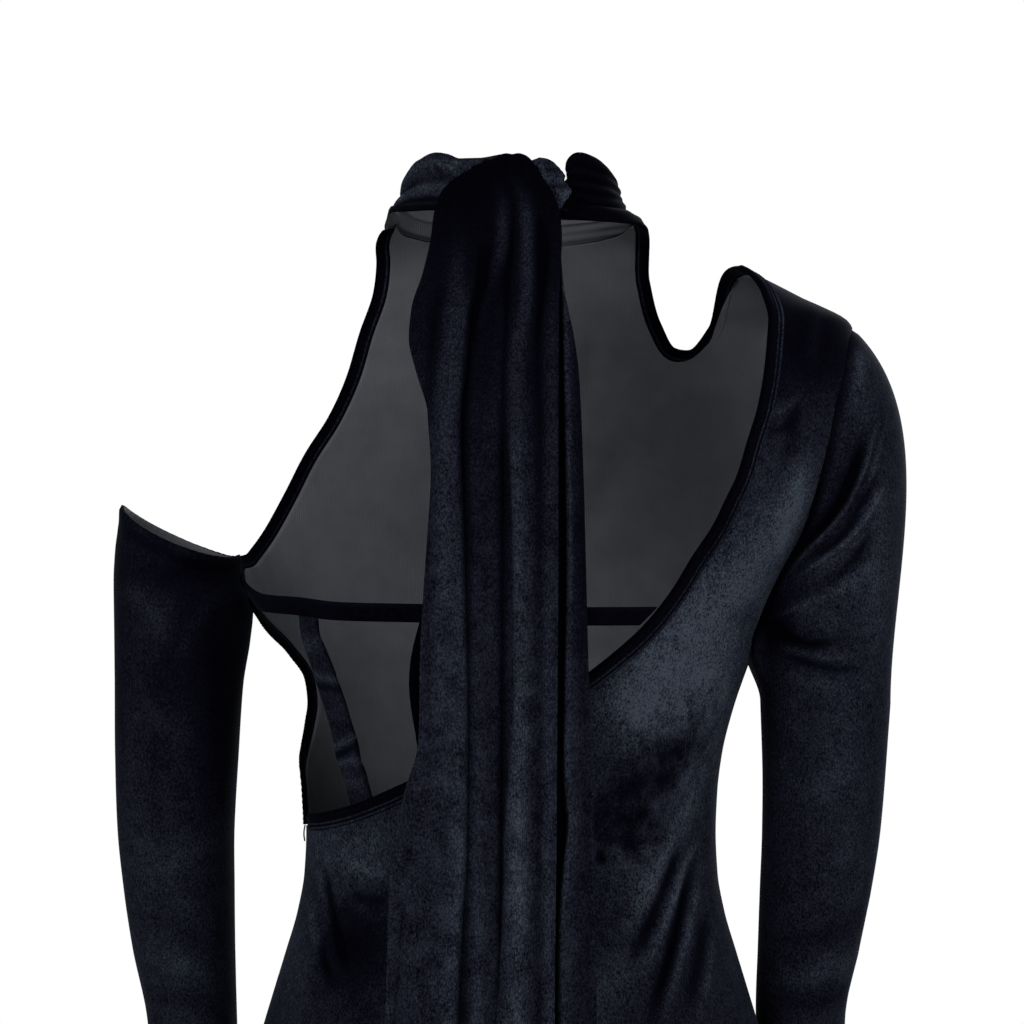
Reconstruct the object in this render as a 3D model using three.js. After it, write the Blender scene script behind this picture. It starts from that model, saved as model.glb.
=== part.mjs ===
// A velvet maxi dress with one set-in sleeve, one off-shoulder sleeve, an open back,
// a wrapped collar and two long tails that hang from the knot at the nape.
// Millimetres, +Z up. The origin is the middle of the neck opening, the front of the
// dress faces -Y and the wearer's left is +X.
import * as THREE from 'three';

// Driving sizes
const WALL = 1.6;
const SEAM = 0.3;
const SKIRT_HEM = -1400;
const TAIL_END = -950;
const BAND_DEPTH = 10.2;
const STRAP_WIDTH = 12;
const BINDING_WALL = 2.2;
const BINDING_WIDTH = 8.5;
const BINDING_CROWN = 0.7;
const NECKLINE_FOOT = -371;
const FLARE_START = -560;
const SQUARENESS = 0.12;
const SIDE = Math.PI / 2;
const DEGREE = Math.PI / 180;

// The figure inside the cloth: half its width, and its depth behind and in front of
// the side line, at each height.
const FIGURE = [
  { z: 30, half: 54, back: 48, front: 50 },
  { z: -15, half: 64, back: 52, front: 50 },
  { z: -22, half: 75, back: 55, front: 51 },
  { z: -30, half: 94, back: 59, front: 53 },
  { z: -40, half: 116, back: 63, front: 55 },
  { z: -49, half: 137, back: 67, front: 57 },
  { z: -65, half: 169, back: 75, front: 61 },
  { z: -80, half: 197, back: 83, front: 66 },
  { z: -110, half: 205, back: 93, front: 76 },
  { z: -150, half: 200, back: 101, front: 93 },
  { z: -190, half: 180, back: 105, front: 109 },
  { z: -220, half: 160, back: 105, front: 118 },
  { z: -240, half: 150, back: 103, front: 120 },
  { z: -273, half: 138.5, back: 97, front: 113 },
  { z: -304, half: 128, back: 90, front: 103 },
  { z: -328, half: 122, back: 86, front: 95 },
  { z: -351, half: 119, back: 83, front: 90 },
  { z: -375, half: 118, back: 81, front: 88 },
  { z: -398, half: 119, back: 82, front: 88 },
  { z: -421, half: 123, back: 88, front: 91 },
  { z: -445, half: 130, back: 95, front: 95 },
  { z: -468, half: 137, back: 102, front: 98 },
  { z: -488, half: 143, back: 107, front: 100 },
  { z: -530, half: 154, back: 115, front: 103 },
  { z: -583, half: 164, back: 120, front: 105 },
  { z: -640, half: 167, back: 119, front: 107 },
  { z: -760, half: 168, back: 117, front: 112 },
  { z: -900, half: 173, back: 121, front: 121 },
  { z: -1050, half: 187, back: 135, front: 135 },
  { z: -1200, half: 208, back: 156, front: 156 },
  { z: SKIRT_HEM, half: 240, back: 186, front: 186 },
];

// Soft flutes of the skirt: where each runs, in degrees round from the centre back,
// how far it stands out at the hem and how wide it is, also in degrees.
const FLUTES = [
  { at: 22, rise: 17, width: 15 },
  { at: 64, rise: 21, width: 17 },
  { at: 108, rise: 15, width: 14 },
  { at: 143, rise: 19, width: 15 },
  { at: 186, rise: 17, width: 17 },
  { at: 227, rise: 21, width: 15 },
  { at: 268, rise: 16, width: 14 },
  { at: 305, rise: 20, width: 17 },
  { at: 338, rise: 14, width: 13 },
];

// Drag folds that spread from the waist: both ends, how far each is raised or sunk,
// and half its width.
const DRAGS = [
  { x1: -100, z1: -396, x2: -74, z2: -452, rise: -2.2, width: 8 },
  { x1: -110, z1: -398, x2: -84, z2: -478, rise: 2.4, width: 9 },
  { x1: 107, z1: -402, x2: 98, z2: -446, rise: 2.2, width: 9 },
  { x1: 92, z1: -400, x2: 84, z2: -450, rise: -1.8, width: 8 },
];

// The back's upper edge, from the right shoulder down to the left of the waist, where
// the panel ends and its binding begins.
const NECKLINE = [
  { z: -49, x: -137 }, { z: -54, x: -143 }, { z: -60, x: -147.5 }, { z: -67, x: -150.5 },
  { z: -79, x: -152.7 }, { z: -92.6, x: -151.6 }, { z: -110.9, x: -149.4 },
  { z: -131.8, x: -145.1 }, { z: -150.4, x: -139.1 }, { z: -170.5, x: -132.8 },
  { z: -184.5, x: -126 }, { z: -200.1, x: -118.2 }, { z: -216.2, x: -107.5 },
  { z: -241.2, x: -91.5 }, { z: -257.9, x: -77.8 }, { z: -275.6, x: -57.8 },
  { z: -287, x: -43 }, { z: -300, x: -26 }, { z: -313, x: -7 }, { z: -326, x: 14 },
  { z: -338, x: 36 }, { z: -348, x: 57 }, { z: -357, x: 76 }, { z: -364, x: 93 },
  { z: -370, x: 113 }, { z: NECKLINE_FOOT, x: 117.6 },
];
const BINDING_END = { x: 114.4, z: -370.2 };

// The right armhole, down from the shoulder point to the underarm. The first and the
// last place lie on the side line, where x is the figure's own half width.
const ARMHOLE = [
  { z: -82, x: 198 }, { z: -86, x: 195.6 }, { z: -91, x: 193.2 }, { z: -109, x: 189.2 },
  { z: -127, x: 184.2 }, { z: -149, x: 179.3 }, { z: -171, x: 173.7 }, { z: -198, x: 166 },
  { z: -223, x: 153.5 },
  { z: -246, x: 143.2 }, { z: -263, x: 137.6 }, { z: -272, x: 138.9 },
];

// The front's left edge beside the armhole rows: the halter edge from the collar, where
// it starts at HALTER_START, down to the left underarm, as an angle from the centre front.
const HALTER_START = 72;
const HALTER = [
  { z: -30, angle: 47 }, { z: -38, angle: 37 }, { z: -58, angle: 26 },
  { z: -82, angle: 22.5 }, { z: -108, angle: 24 }, { z: -134, angle: 28 },
  { z: -158, angle: 34 }, { z: -182, angle: 42 }, { z: -203, angle: 53 },
  { z: -219, angle: 69 }, { z: -229, angle: 90 },
];

// The front's left edge below the underarm: a crescent cut out of the side.
const SIDE_CUT = [
  { z: -229, angle: 90 }, { z: -241, angle: 90 }, { z: -254, angle: 78 },
  { z: -269, angle: 66 }, { z: -286, angle: 60 }, { z: -303, angle: 62 },
  { z: -318, angle: 69 }, { z: -331, angle: 79 }, { z: -341, angle: 90 },
];

// Heights of the rows of both panels.
const SHOULDER_ROWS = [-50, -54, -60, -67, -74];
const WAIST_ROWS = [-287, -300, -313, -326, -338, -348, -357, -364, NECKLINE_FOOT];
const SKIRT_ROWS = [
  -390, -412, -438, -466, -505, -550, -610, -690, -790, -910, -1060, -1230, SKIRT_HEM,
];
const CUT_ROWS = [...SIDE_CUT.slice(1).map((place) => place.z), NECKLINE_FOOT];
const PANEL_COLUMNS = 20;

// The front's upper edge right of the collar: down into a scoop, up to the shoulder tip.
const SCOOP = [
  { x: -75, z: -50 }, { x: -83, z: -78 }, { x: -95, z: -96 }, { x: -111, z: -98 },
  { x: -126, z: -82 }, { x: -137, z: -49.5 },
];
const SHOULDER_SEAM = SHOULDER_ROWS.slice(1);

// The collar's upper and lower edge, round from the centre back, left side positive.
const COLLAR = [
  { angle: -180, top: -4, low: -34 }, { angle: -150, top: -2, low: -31 },
  { angle: -120, top: 2, low: -26 }, { angle: -90, top: 7, low: -22 },
  { angle: -60, top: 17, low: -20 }, { angle: -30, top: 21.5, low: -19 },
  { angle: 0, top: 21.5, low: -15 }, { angle: 30, top: 21.5, low: -13 },
  { angle: 60, top: 19, low: -15 }, { angle: 90, top: 9, low: -20 },
  { angle: 120, top: 3, low: -25 }, { angle: 150, top: -2, low: -31 },
  { angle: 180, top: -4, low: -34 },
];

// How far the collar stands off the neck, down from its upper edge, with its folds.
const COLLAR_FOLDS = [
  { down: 0, left: 1.6, right: 1.8 }, { down: 0.16, left: 3.6, right: 3 },
  { down: 0.34, left: 1.6, right: 2.6 }, { down: 0.5, left: 4.2, right: 3.4 },
  { down: 0.68, left: 2.6, right: 2.8 }, { down: 0.84, left: 4.6, right: 3.8 },
  { down: 1, left: 2.4, right: 2.4 },
];
const COLLAR_COLUMNS = 8;
const COLLAR_BREAK = -29;
const COLLAR_LAP = 3;

// Gaps between the two wraps, as angles: behind the knot and at the centre front.
const WRAP_GAP_BACK = 0.03;
const WRAP_GAP_FRONT = 0.004;

// The arms: at each height the middle of the sleeve, half its width and half its depth.
const RIGHT_ARM = [
  { z: -300, x: -184, half: 37, y: -2, depth: 45 },
  { z: -340, x: -183.5, half: 35, y: -5, depth: 43 },
  { z: -375, x: -182.3, half: 33.7, y: -9, depth: 40 },
  { z: -410, x: -179.5, half: 31.8, y: -14, depth: 38 },
  { z: -445, x: -176, half: 29, y: -20, depth: 36 },
  { z: -488, x: -172, half: 25.5, y: -29, depth: 34 },
  { z: -535, x: -179, half: 24.5, y: -39, depth: 32 },
  { z: -585, x: -185, half: 25, y: -50, depth: 31 },
  { z: -640, x: -188, half: 27, y: -61, depth: 31 },
];
const LEFT_ARM = [
  { z: -206, x: 194.7, half: 35.5, y: -1, depth: 43 },
  { z: -222, x: 195.3, half: 36.5, y: -1, depth: 44 },
  { z: -231, x: 193, half: 38.7, y: -1, depth: 45 },
  { z: -241, x: 191.6, half: 40.6, y: -1, depth: 46 },
  { z: -262, x: 192.4, half: 39.6, y: -2, depth: 46 },
  { z: -290, x: 194.4, half: 37.4, y: -3, depth: 45 },
  { z: -328, x: 195.8, half: 36.1, y: -5, depth: 43 },
  { z: -374, x: 196.8, half: 34.2, y: -9, depth: 40 },
  { z: -410, x: 195.5, half: 32.5, y: -14, depth: 38 },
  { z: -445, x: 193.4, half: 30.2, y: -20, depth: 36 },
  { z: -488, x: 189.5, half: 26.5, y: -29, depth: 34 },
  { z: -535, x: 188, half: 25, y: -39, depth: 32 },
  { z: -585, x: 190, half: 25, y: -50, depth: 31 },
  { z: -640, x: 192, half: 27, y: -61, depth: 31 },
];
const SLEEVE_COLUMNS = 20;
const SLEEVE_CAP_ROWS = 6;

// The right sleeve is one cloth. It is split just above the elbow, at a row, with a gap
// of a fraction of a row, so that each half stays hollow for collisions.
const ELBOW_ROW = SLEEVE_CAP_ROWS + 3;
const ELBOW_LEAVE = 0.005;

// How the right sleeve leaves its armhole: the gap left for the seam, and the direction
// out, more so over the shoulder, towards front or back, and down.
const CAP_GAP = 0.6;
const CAP_LEAVE = { out: 0.34, over: 0.3, round: 0.14, down: 0.6 };

// The slanting top edge of the left sleeve: it rises on the outside of the arm and dips
// in front and behind, and the slant fades out between two heights.
const SLEEVE_SLANT = { from: -206, to: -290, rise: 13, dip: 6 };

// The tails: how far back the outer and the under one hang at each height, and where
// their edges are.
const TAILS = [
  { z: 9.2, y: 65.6, under: 58.4, left: 22, right: -14, inner: -16 },
  { z: -2, y: 69, under: 55.4, left: 37, right: -17, inner: -16.5 },
  { z: -14, y: 74, under: 62, left: 40.5, right: -22, inner: -22 },
  { z: -35, y: 80, under: 70, left: 43.8, right: -28, inner: -27 },
  { z: -56, y: 89, under: 79, left: 49, right: -27.4, inner: -29 },
  { z: -76, y: 96, under: 86, left: 55, right: -26.4, inner: -31.6 },
  { z: -92, y: 101, under: 91, left: 56.3, right: -26.2, inner: -34.4 },
  { z: -112, y: 107, under: 97, left: 52, right: -26, inner: -37 },
  { z: -133, y: 112, under: 101.5, left: 45.6, right: -25.8, inner: -38.4 },
  { z: -165, y: 118, under: 107, left: 42.2, right: -25.7, inner: -39.8 },
  { z: -215, y: 122, under: 111, left: 46.5, right: -25.7, inner: -41.2 },
  { z: -265, y: 123.5, under: 112.5, left: 49.5, right: -25.4, inner: -42.4 },
  { z: -313, y: 124, under: 113, left: 50.8, right: -25, inner: -44 },
  { z: -346, y: 124.5, under: 113.5, left: 59.5, right: -24.8, inner: -45 },
  { z: -400, y: 126, under: 115, left: 66.5, right: -24.2, inner: -46 },
  { z: -454, y: 128.5, under: 117.5, left: 68.4, right: -23.4, inner: -46.8 },
  { z: -520, y: 134, under: 123, left: 70, right: -24, inner: -48 },
  { z: -600, y: 139.5, under: 128.5, left: 71, right: -26, inner: -50 },
  { z: -720, y: 140, under: 129, left: 72, right: -29, inner: -52 },
  { z: -840, y: 142, under: 131, left: 73, right: -32, inner: -54 },
  { z: TAIL_END, y: 146, under: 135, left: 74, right: -35, inner: -56 },
];

// The long folds across a tail, from its left edge to its right.
const OUTER_FOLDS = [
  { at: 0, rise: -2 }, { at: 0.07, rise: 4 }, { at: 0.195, rise: -4 }, { at: 0.31, rise: 4.5 },
  { at: 0.41, rise: -4.5 }, { at: 0.55, rise: 5 }, { at: 0.67, rise: -1 },
  { at: 0.785, rise: 5 }, { at: 0.89, rise: -4 }, { at: 0.97, rise: 3.5 }, { at: 1, rise: 0 },
];
const INNER_FOLDS = [
  { at: 0, rise: 0 }, { at: 0.12, rise: 1.4 }, { at: 0.3, rise: -1.4 }, { at: 0.5, rise: 1.2 },
  { at: 0.7, rise: -1.4 }, { at: 0.85, rise: 1.2 }, { at: 0.95, rise: -1 }, { at: 1, rise: 1 },
];
const INNER_TAIL_LEFT = 6;
const INNER_TAIL_BUMP = { z: -280, out: 12, length: 45 };

// How the long folds change on their way down: shallow by the knot, then swelling and
// wandering sideways over these lengths.
const FOLD_START = 0.35;
const FOLD_SWELL = { usual: 0.85, change: 0.15, length: 62 };
const FOLD_WANDER = { share: 0.16, length: 88, lag: 3 };
const FOLD_OPENING = 60;

// The gathered crest of the knot, in section: degrees round from inside the collar.
const CREST = { y: 60.6, z: 9.5, depth: 6.5, height: 12, from: 0, to: 176, rows: 20, columns: 6 };
const CREST_LEFT = 21;
const CREST_RIGHT = -15;
const CREST_GATHERS = { count: 5, depth: 0.1, droop: 0.25, lean: 3 };

// The loop beside the crest: its middle, half sizes and height, how it swells at half
// height, and how its foot moves out.
const LOBE = { x: -25.5, y: 57.3, z: 4, half: 7, depth: 5.5, height: 20, rows: 5, columns: 12 };
const LOBE_SWELL = { least: 0.72, more: 0.28, from: 0.12, over: 0.8 };
const LOBE_FOOT = { x: 6, y: 3 };

// The band across the open back: its upper edge, its ends, how they slant, and how the
// left end tucks up beside the sleeve.
const BAND_EDGE = [
  { x: 154, z: -229 }, { x: 150, z: -232 }, { x: 141, z: -235.5 }, { x: 121, z: -236 },
  { x: 96, z: -238.5 }, { x: 50, z: -239.2 }, { x: -44, z: -240.9 }, { x: -88, z: -241 },
];
const BAND = { left: 153.2, right: -76, slant: 5, tuck: 4.2, tuckEnd: 0.06, rows: 24 };

// The strap from the band to the waist: its ends, its sideways sway and its slanting ends.
const STRAP = {
  top: { x: 114.2, z: -249.8 }, foot: { x: 86.6, z: -350.6 }, sway: 1.6, slant: 2.8, rows: 10,
};

// Cloth colours
const PANEL_COLOUR = 0x15181d;
const RIGHT_SLEEVE_COLOUR = 0x1b1e26;
const LEFT_SLEEVE_COLOUR = 0x14171d;
const BINDING_COLOUR = 0x101216;
const BAND_COLOUR = 0x08090a;
const STRAP_COLOUR = 0x16181d;
const LEFT_WRAP_COLOUR = 0x181b26;
const RIGHT_WRAP_COLOUR = 0x050607;
const KNOT_COLOUR = 0x14151d;
const INNER_TAIL_COLOUR = 0x101119;

// A smooth curve through one column of a table, without overshoot.
function curveThrough(rows, place, column) {
  const sorted = [...rows].sort((a, b) => a[place] - b[place]);
  const at = sorted.map((row) => row[place]);
  const value = sorted.map((row) => row[column]);
  const step = at.slice(1).map((end, k) => end - at[k]);
  const slope = step.map((width, k) => (value[k + 1] - value[k]) / width);
  const tangent = value.map((_, k) => {
    if (k === 0) return slope[0];
    if (k === value.length - 1) return slope[k - 1];
    if (slope[k - 1] * slope[k] <= 0) return 0;
    const before = 2 * step[k] + step[k - 1];
    const after = step[k] + 2 * step[k - 1];
    return (before + after) / (before / slope[k - 1] + after / slope[k]);
  });
  return (where) => {
    const inside = THREE.MathUtils.clamp(where, at[0], at[at.length - 1]);
    let k = 0;
    while (k < step.length - 1 && inside > at[k + 1]) k += 1;
    const t = (inside - at[k]) / step[k];
    const square = t * t;
    const cube = square * t;
    return (2 * cube - 3 * square + 1) * value[k]
      + (cube - 2 * square + t) * step[k] * tangent[k]
      + (3 * square - 2 * cube) * value[k + 1]
      + (cube - square) * step[k] * tangent[k + 1];
  };
}

const halfWidth = curveThrough(FIGURE, 'z', 'half');
const backDepth = curveThrough(FIGURE, 'z', 'back');
const frontDepth = curveThrough(FIGURE, 'z', 'front');
const mix = THREE.MathUtils.lerp;

// A point of the figure: the angle runs from the centre back towards the left side.
function onSkin(angle, z) {
  const sine = Math.sin(angle);
  const cosine = Math.cos(angle);
  const depth = cosine > 0 ? backDepth(z) : frontDepth(z);
  return new THREE.Vector3(
    halfWidth(z) * sine * (1 + SQUARENESS * cosine * cosine),
    depth * cosine * (1 + SQUARENESS * sine * sine),
    z,
  );
}

// The same point moved out of the figure, square to its surface.
function onFigure(angle, z, out) {
  const turn = 0.01;
  const lift = 0.5;
  const across = onSkin(angle + turn, z).sub(onSkin(angle - turn, z));
  const up = onSkin(angle, z + lift).sub(onSkin(angle, z - lift));
  return onSkin(angle, z).addScaledVector(up.cross(across).normalize(), out);
}

// The angle at which the figure is x wide of the middle at height z.
function angleAt(x, z) {
  const reach = Math.min(Math.abs(x) / halfWidth(z), 1);
  let sine = reach;
  for (let step = 0; step < 12; step += 1) {
    const miss = (1 + SQUARENESS) * sine - SQUARENESS * sine ** 3 - reach;
    sine -= miss / (1 + SQUARENESS - 3 * SQUARENESS * sine * sine);
  }
  return Math.sign(x) * Math.asin(Math.min(sine, 1));
}

// The angle of a side seam's edge, half a seam's gap short of the side line.
function sideAngle(depth) {
  return SIDE - (0.7 * SEAM) / (depth * (1 + SQUARENESS));
}

// How far flutes and drag folds move the cloth out at a place on the figure.
function foldRise(angle, z) {
  const opening = THREE.MathUtils.smoothstep(-z, -FLARE_START, -SKIRT_HEM);
  const degrees = angle / DEGREE;
  let rise = 0;
  for (const flute of FLUTES) {
    const away = ((degrees - flute.at + 540) % 360) - 180;
    rise += opening * flute.rise * Math.exp(-((away / flute.width) ** 2));
  }
  if (Math.cos(angle) <= 0) return rise;
  const place = onSkin(angle, z);
  for (const drag of DRAGS) {
    const along = (z - drag.z1) / (drag.z2 - drag.z1);
    const middle = mix(drag.x1, drag.x2, along);
    const away = (place.x - middle) / drag.width;
    const ends = THREE.MathUtils.smoothstep(along, -0.15, 0.3)
      * (1 - THREE.MathUtils.smoothstep(along, 0.6, 1.25));
    rise += drag.rise * ends * Math.exp(-away * away);
  }
  return rise;
}

// A cloth wall through a grid of places: point(row, column, side) gives a place on the
// inside for side 0 and on the outside for side 1. A closed wall joins round its columns.
function clothWall(point, rows, columns, closed = false) {
  const across = closed ? columns : columns + 1;
  const positions = [];
  for (const side of [0, 1]) {
    for (let row = 0; row <= rows; row += 1) {
      for (let column = 0; column < across; column += 1) {
        positions.push(...point(row, column, side).toArray());
      }
    }
  }
  const at = (side, row, column) => (side * (rows + 1) + row) * across + (column % across);
  const index = [];
  const quad = (a, b, c, d) => index.push(a, b, c, a, c, d);
  for (let row = 0; row < rows; row += 1) {
    for (let column = 0; column < columns; column += 1) {
      quad(at(1, row, column), at(1, row, column + 1),
        at(1, row + 1, column + 1), at(1, row + 1, column));
      quad(at(0, row, column), at(0, row + 1, column),
        at(0, row + 1, column + 1), at(0, row, column + 1));
    }
    if (!closed) {
      quad(at(0, row, 0), at(1, row, 0), at(1, row + 1, 0), at(0, row + 1, 0));
      quad(at(1, row, columns), at(0, row, columns),
        at(0, row + 1, columns), at(1, row + 1, columns));
    }
  }
  for (let column = 0; column < columns; column += 1) {
    quad(at(0, 0, column), at(0, 0, column + 1), at(1, 0, column + 1), at(1, 0, column));
    quad(at(1, rows, column), at(1, rows, column + 1),
      at(0, rows, column + 1), at(0, rows, column));
  }
  return facingOut(positions, index);
}

// The geometry with its triangles turned so that it holds a positive volume.
function facingOut(positions, index) {
  const corner = (k) => new THREE.Vector3().fromArray(positions, 3 * index[k]);
  let volume = 0;
  for (let k = 0; k < index.length; k += 3) {
    volume += corner(k).dot(corner(k + 1).cross(corner(k + 2)));
  }
  const turned = volume < 0 ? index.reverse() : index;
  const geometry = new THREE.BufferGeometry();
  geometry.setAttribute('position', new THREE.Float32BufferAttribute(positions, 3));
  geometry.setIndex(turned);
  geometry.computeVertexNormals();
  return geometry;
}

// A free surface given a wall: both skins lie square to the surface.
function thicken(surface, thickness) {
  const step = 0.002;
  return (u, v, side) => {
    const alongU = surface(u + step, v).sub(surface(u - step, v));
    const alongV = surface(u, v + step).sub(surface(u, v - step));
    return surface(u, v).addScaledVector(alongU.cross(alongV).normalize(), side * thickness);
  };
}

// Panels: each row runs from a left edge to a right edge. Above the waist the columns
// are spaced by width, below it by angle.
function panelPlace(row, share) {
  const x = mix(row.left.x, row.right.x, share) + row.lift(share).x;
  const z = mix(row.left.z, row.right.z, share) + row.lift(share).z;
  const flat = angleAt(x, z);
  const round = mix(row.left.angle, row.right.angle, share);
  return { angle: mix(flat, round, row.roundness), z };
}

function edgePlace(x, z) {
  return { x, z, angle: angleAt(x, z) };
}

function edgeAngle(angle, z) {
  return { x: onSkin(angle, z).x, z, angle };
}

const NO_LIFT = () => ({ x: 0, z: 0 });

function roundnessAt(z) {
  return THREE.MathUtils.smoothstep(-z, 280, 400);
}

// The right edge of either panel: shoulder seam, armhole and side seam.
function rightEdge(z, depth) {
  const limit = -sideAngle(depth);
  if (z > ARMHOLE[0].z || z < ARMHOLE[ARMHOLE.length - 1].z) return edgeAngle(limit, z);
  const place = edgePlace(-armholeWidth(z), z);
  return place.angle < limit ? edgeAngle(limit, z) : place;
}

const armholeWidth = curveThrough(ARMHOLE, 'z', 'x');
const necklineAt = curveThrough(NECKLINE, 'z', 'x');

// The back panel, from the right shoulder down to the hem.
const BACK_ROWS = [...SHOULDER_ROWS, ...ARMHOLE.map((place) => place.z), ...WAIST_ROWS, ...SKIRT_ROWS]
  .map((z) => {
    const depth = backDepth(z);
    const open = z > NECKLINE_FOOT;
    const left = open ? edgePlace(necklineAt(z), z) : edgeAngle(sideAngle(depth), z);
    return { left, right: rightEdge(z, depth), lift: NO_LIFT, roundness: roundnessAt(z) };
  });

function backPoint(row, column, side) {
  const place = panelPlace(BACK_ROWS[row], column / PANEL_COLUMNS);
  return onFigure(place.angle, place.z, foldRise(place.angle, place.z) + side * WALL);
}

// The front panel, from the collar and the right shoulder down to the hem.
const frontFigure = (angle, z, out) => onFigure(Math.PI - angle, z, out);
const collarLow = curveThrough(COLLAR, 'angle', 'low');
const collarTop = curveThrough(COLLAR, 'angle', 'top');

function frontTop(column) {
  const collarColumns = 9;
  if (column <= collarColumns) {
    const degrees = mix(HALTER_START, -HALTER_START, column / collarColumns);
    const z = collarLow(Math.sign(degrees) * (180 - Math.abs(degrees))) + COLLAR_LAP;
    return edgeAngle(degrees * DEGREE, z);
  }
  const afterCollar = column - collarColumns - 1;
  if (afterCollar < SCOOP.length) return SCOOP[afterCollar];
  const seam = afterCollar - SCOOP.length;
  const z = seam < SHOULDER_SEAM.length ? SHOULDER_SEAM[seam] : ARMHOLE[0].z;
  return edgeAngle(-sideAngle(frontDepth(z)), z);
}

function frontLift(row) {
  const fade = Math.max(0, 1 - row / (ARMHOLE.length - 1)) ** 2;
  const first = frontTop(0);
  const last = frontTop(PANEL_COLUMNS);
  return (share) => {
    const top = frontTop(Math.round(share * PANEL_COLUMNS));
    return {
      x: fade * (top.x - mix(first.x, last.x, share)),
      z: fade * (top.z - mix(first.z, last.z, share)),
    };
  };
}

function halterEdge({ z, angle }) {
  return edgeAngle(Math.min(angle * DEGREE, sideAngle(frontDepth(z))), z);
}

const FRONT_ROWS = [
  ...ARMHOLE.map((place, row) => {
    const left = row === 0 ? frontTop(0) : halterEdge(HALTER[row - 1]);
    return { left, right: rightEdge(place.z, frontDepth(place.z)), lift: frontLift(row) };
  }),
  ...WAIST_ROWS.map((z, row) => {
    const leftZ = CUT_ROWS[row];
    const cut = curveThrough(SIDE_CUT, 'z', 'angle')(leftZ) * DEGREE;
    const left = edgeAngle(Math.min(cut, sideAngle(frontDepth(leftZ))), leftZ);
    return { left, right: rightEdge(z, frontDepth(z)), lift: NO_LIFT };
  }),
  ...SKIRT_ROWS.map((z) => {
    const limit = sideAngle(frontDepth(z));
    return { left: edgeAngle(limit, z), right: edgeAngle(-limit, z), lift: NO_LIFT };
  }),
].map((row) => ({ ...row, roundness: roundnessAt(row.right.z) }));

function frontPoint(row, column, side) {
  const place = panelPlace(FRONT_ROWS[row], column / PANEL_COLUMNS);
  const rise = foldRise(Math.PI - place.angle, place.z);
  return frontFigure(place.angle, place.z, rise + side * WALL);
}

// A binding: a narrow strip that carries on from a panel's edge, a little thicker.
// Each edge place holds the point, the way out of the cloth and the way off the panel.
function binding(edge) {
  const crown = [0, BINDING_CROWN, 0];
  return clothWall((row, column, side) => {
    const place = edge[row];
    const off = SEAM + (BINDING_WIDTH * column) / 2;
    const out = side * (BINDING_WALL + crown[column]);
    return place.point.clone().addScaledVector(place.off, off).addScaledVector(place.out, out);
  }, edge.length - 1, 2);
}

// The places along an edge: points on the figure, left of the direction of travel is
// off the panel when turn is 1.
function edgePlaces(points, figure, turn) {
  const places = points.map(({ angle, z }) => {
    const point = figure(angle, z, foldRise(0, z));
    const out = figure(angle, z, 1).sub(figure(angle, z, 0)).normalize();
    return { point, out };
  });
  return places.map((place, k) => {
    const before = places[Math.max(k - 1, 0)].point;
    const after = places[Math.min(k + 1, places.length - 1)].point;
    const along = after.clone().sub(before).normalize();
    const off = place.out.clone().cross(along).multiplyScalar(turn).normalize();
    return { ...place, off };
  });
}

// Bands and straps lie on the figure between two edges.
function onFigureStrip(rows, columns, edges) {
  return clothWall((row, column, side) => {
    const { from, to } = edges(row / rows);
    const x = mix(from.x, to.x, column / columns);
    const z = mix(from.z, to.z, column / columns);
    return onFigure(angleAt(x, z), z, side * WALL);
  }, rows, columns);
}

// The right sleeve starts on the armhole and turns down into the arm.
function armholePoint(v) {
  const turn = v - Math.floor(v);
  const index = 2 * Math.min(turn, 1 - turn) * (ARMHOLE.length - 1);
  const low = Math.min(Math.floor(index), ARMHOLE.length - 2);
  const z = mix(ARMHOLE[low].z, ARMHOLE[low + 1].z, index - low);
  const behind = turn < 0.5;
  const depth = behind ? backDepth(z) : frontDepth(z);
  const angle = rightEdge(z, depth).angle;
  return behind ? onFigure(angle, z, WALL) : frontFigure(angle, z, WALL);
}

function armRing(arm, v) {
  const turn = v * 2 * Math.PI;
  const outward = Math.sign(arm.x);
  return new THREE.Vector3(
    arm.x + outward * arm.half * Math.cos(turn),
    arm.y + arm.depth * Math.sin(turn),
    arm.z,
  );
}

function armAt(table, place) {
  const low = Math.min(Math.max(Math.floor(place), 0), table.length - 2);
  const share = place - low;
  const blend = (name) => mix(table[low][name], table[low + 1][name], share);
  return { x: blend('x'), y: blend('y'), z: blend('z'), half: blend('half'), depth: blend('depth') };
}

function rightSleeve(u, v) {
  const place = u * (SLEEVE_CAP_ROWS + RIGHT_ARM.length - 1);
  if (place >= SLEEVE_CAP_ROWS) return armRing(armAt(RIGHT_ARM, place - SLEEVE_CAP_ROWS), v);
  const t = place / SLEEVE_CAP_ROWS;
  const start = armholePoint(v);
  const end = armRing(RIGHT_ARM[0], v);
  const reach = start.distanceTo(end);
  const high = Math.cos(v * 2 * Math.PI);
  const leave = new THREE.Vector3(
    -CAP_LEAVE.out - CAP_LEAVE.over * high,
    CAP_LEAVE.round * Math.sin(v * 2 * Math.PI),
    -CAP_LEAVE.down,
  ).normalize().multiplyScalar(reach);
  const arrive = new THREE.Vector3(0, 0, -reach);
  const begin = start.clone().addScaledVector(leave, CAP_GAP / reach);
  const square = t * t;
  const cube = square * t;
  return begin.multiplyScalar(2 * cube - 3 * square + 1)
    .addScaledVector(leave, cube - 2 * square + t)
    .addScaledVector(end, 3 * square - 2 * cube)
    .addScaledVector(arrive, cube - square);
}

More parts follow.
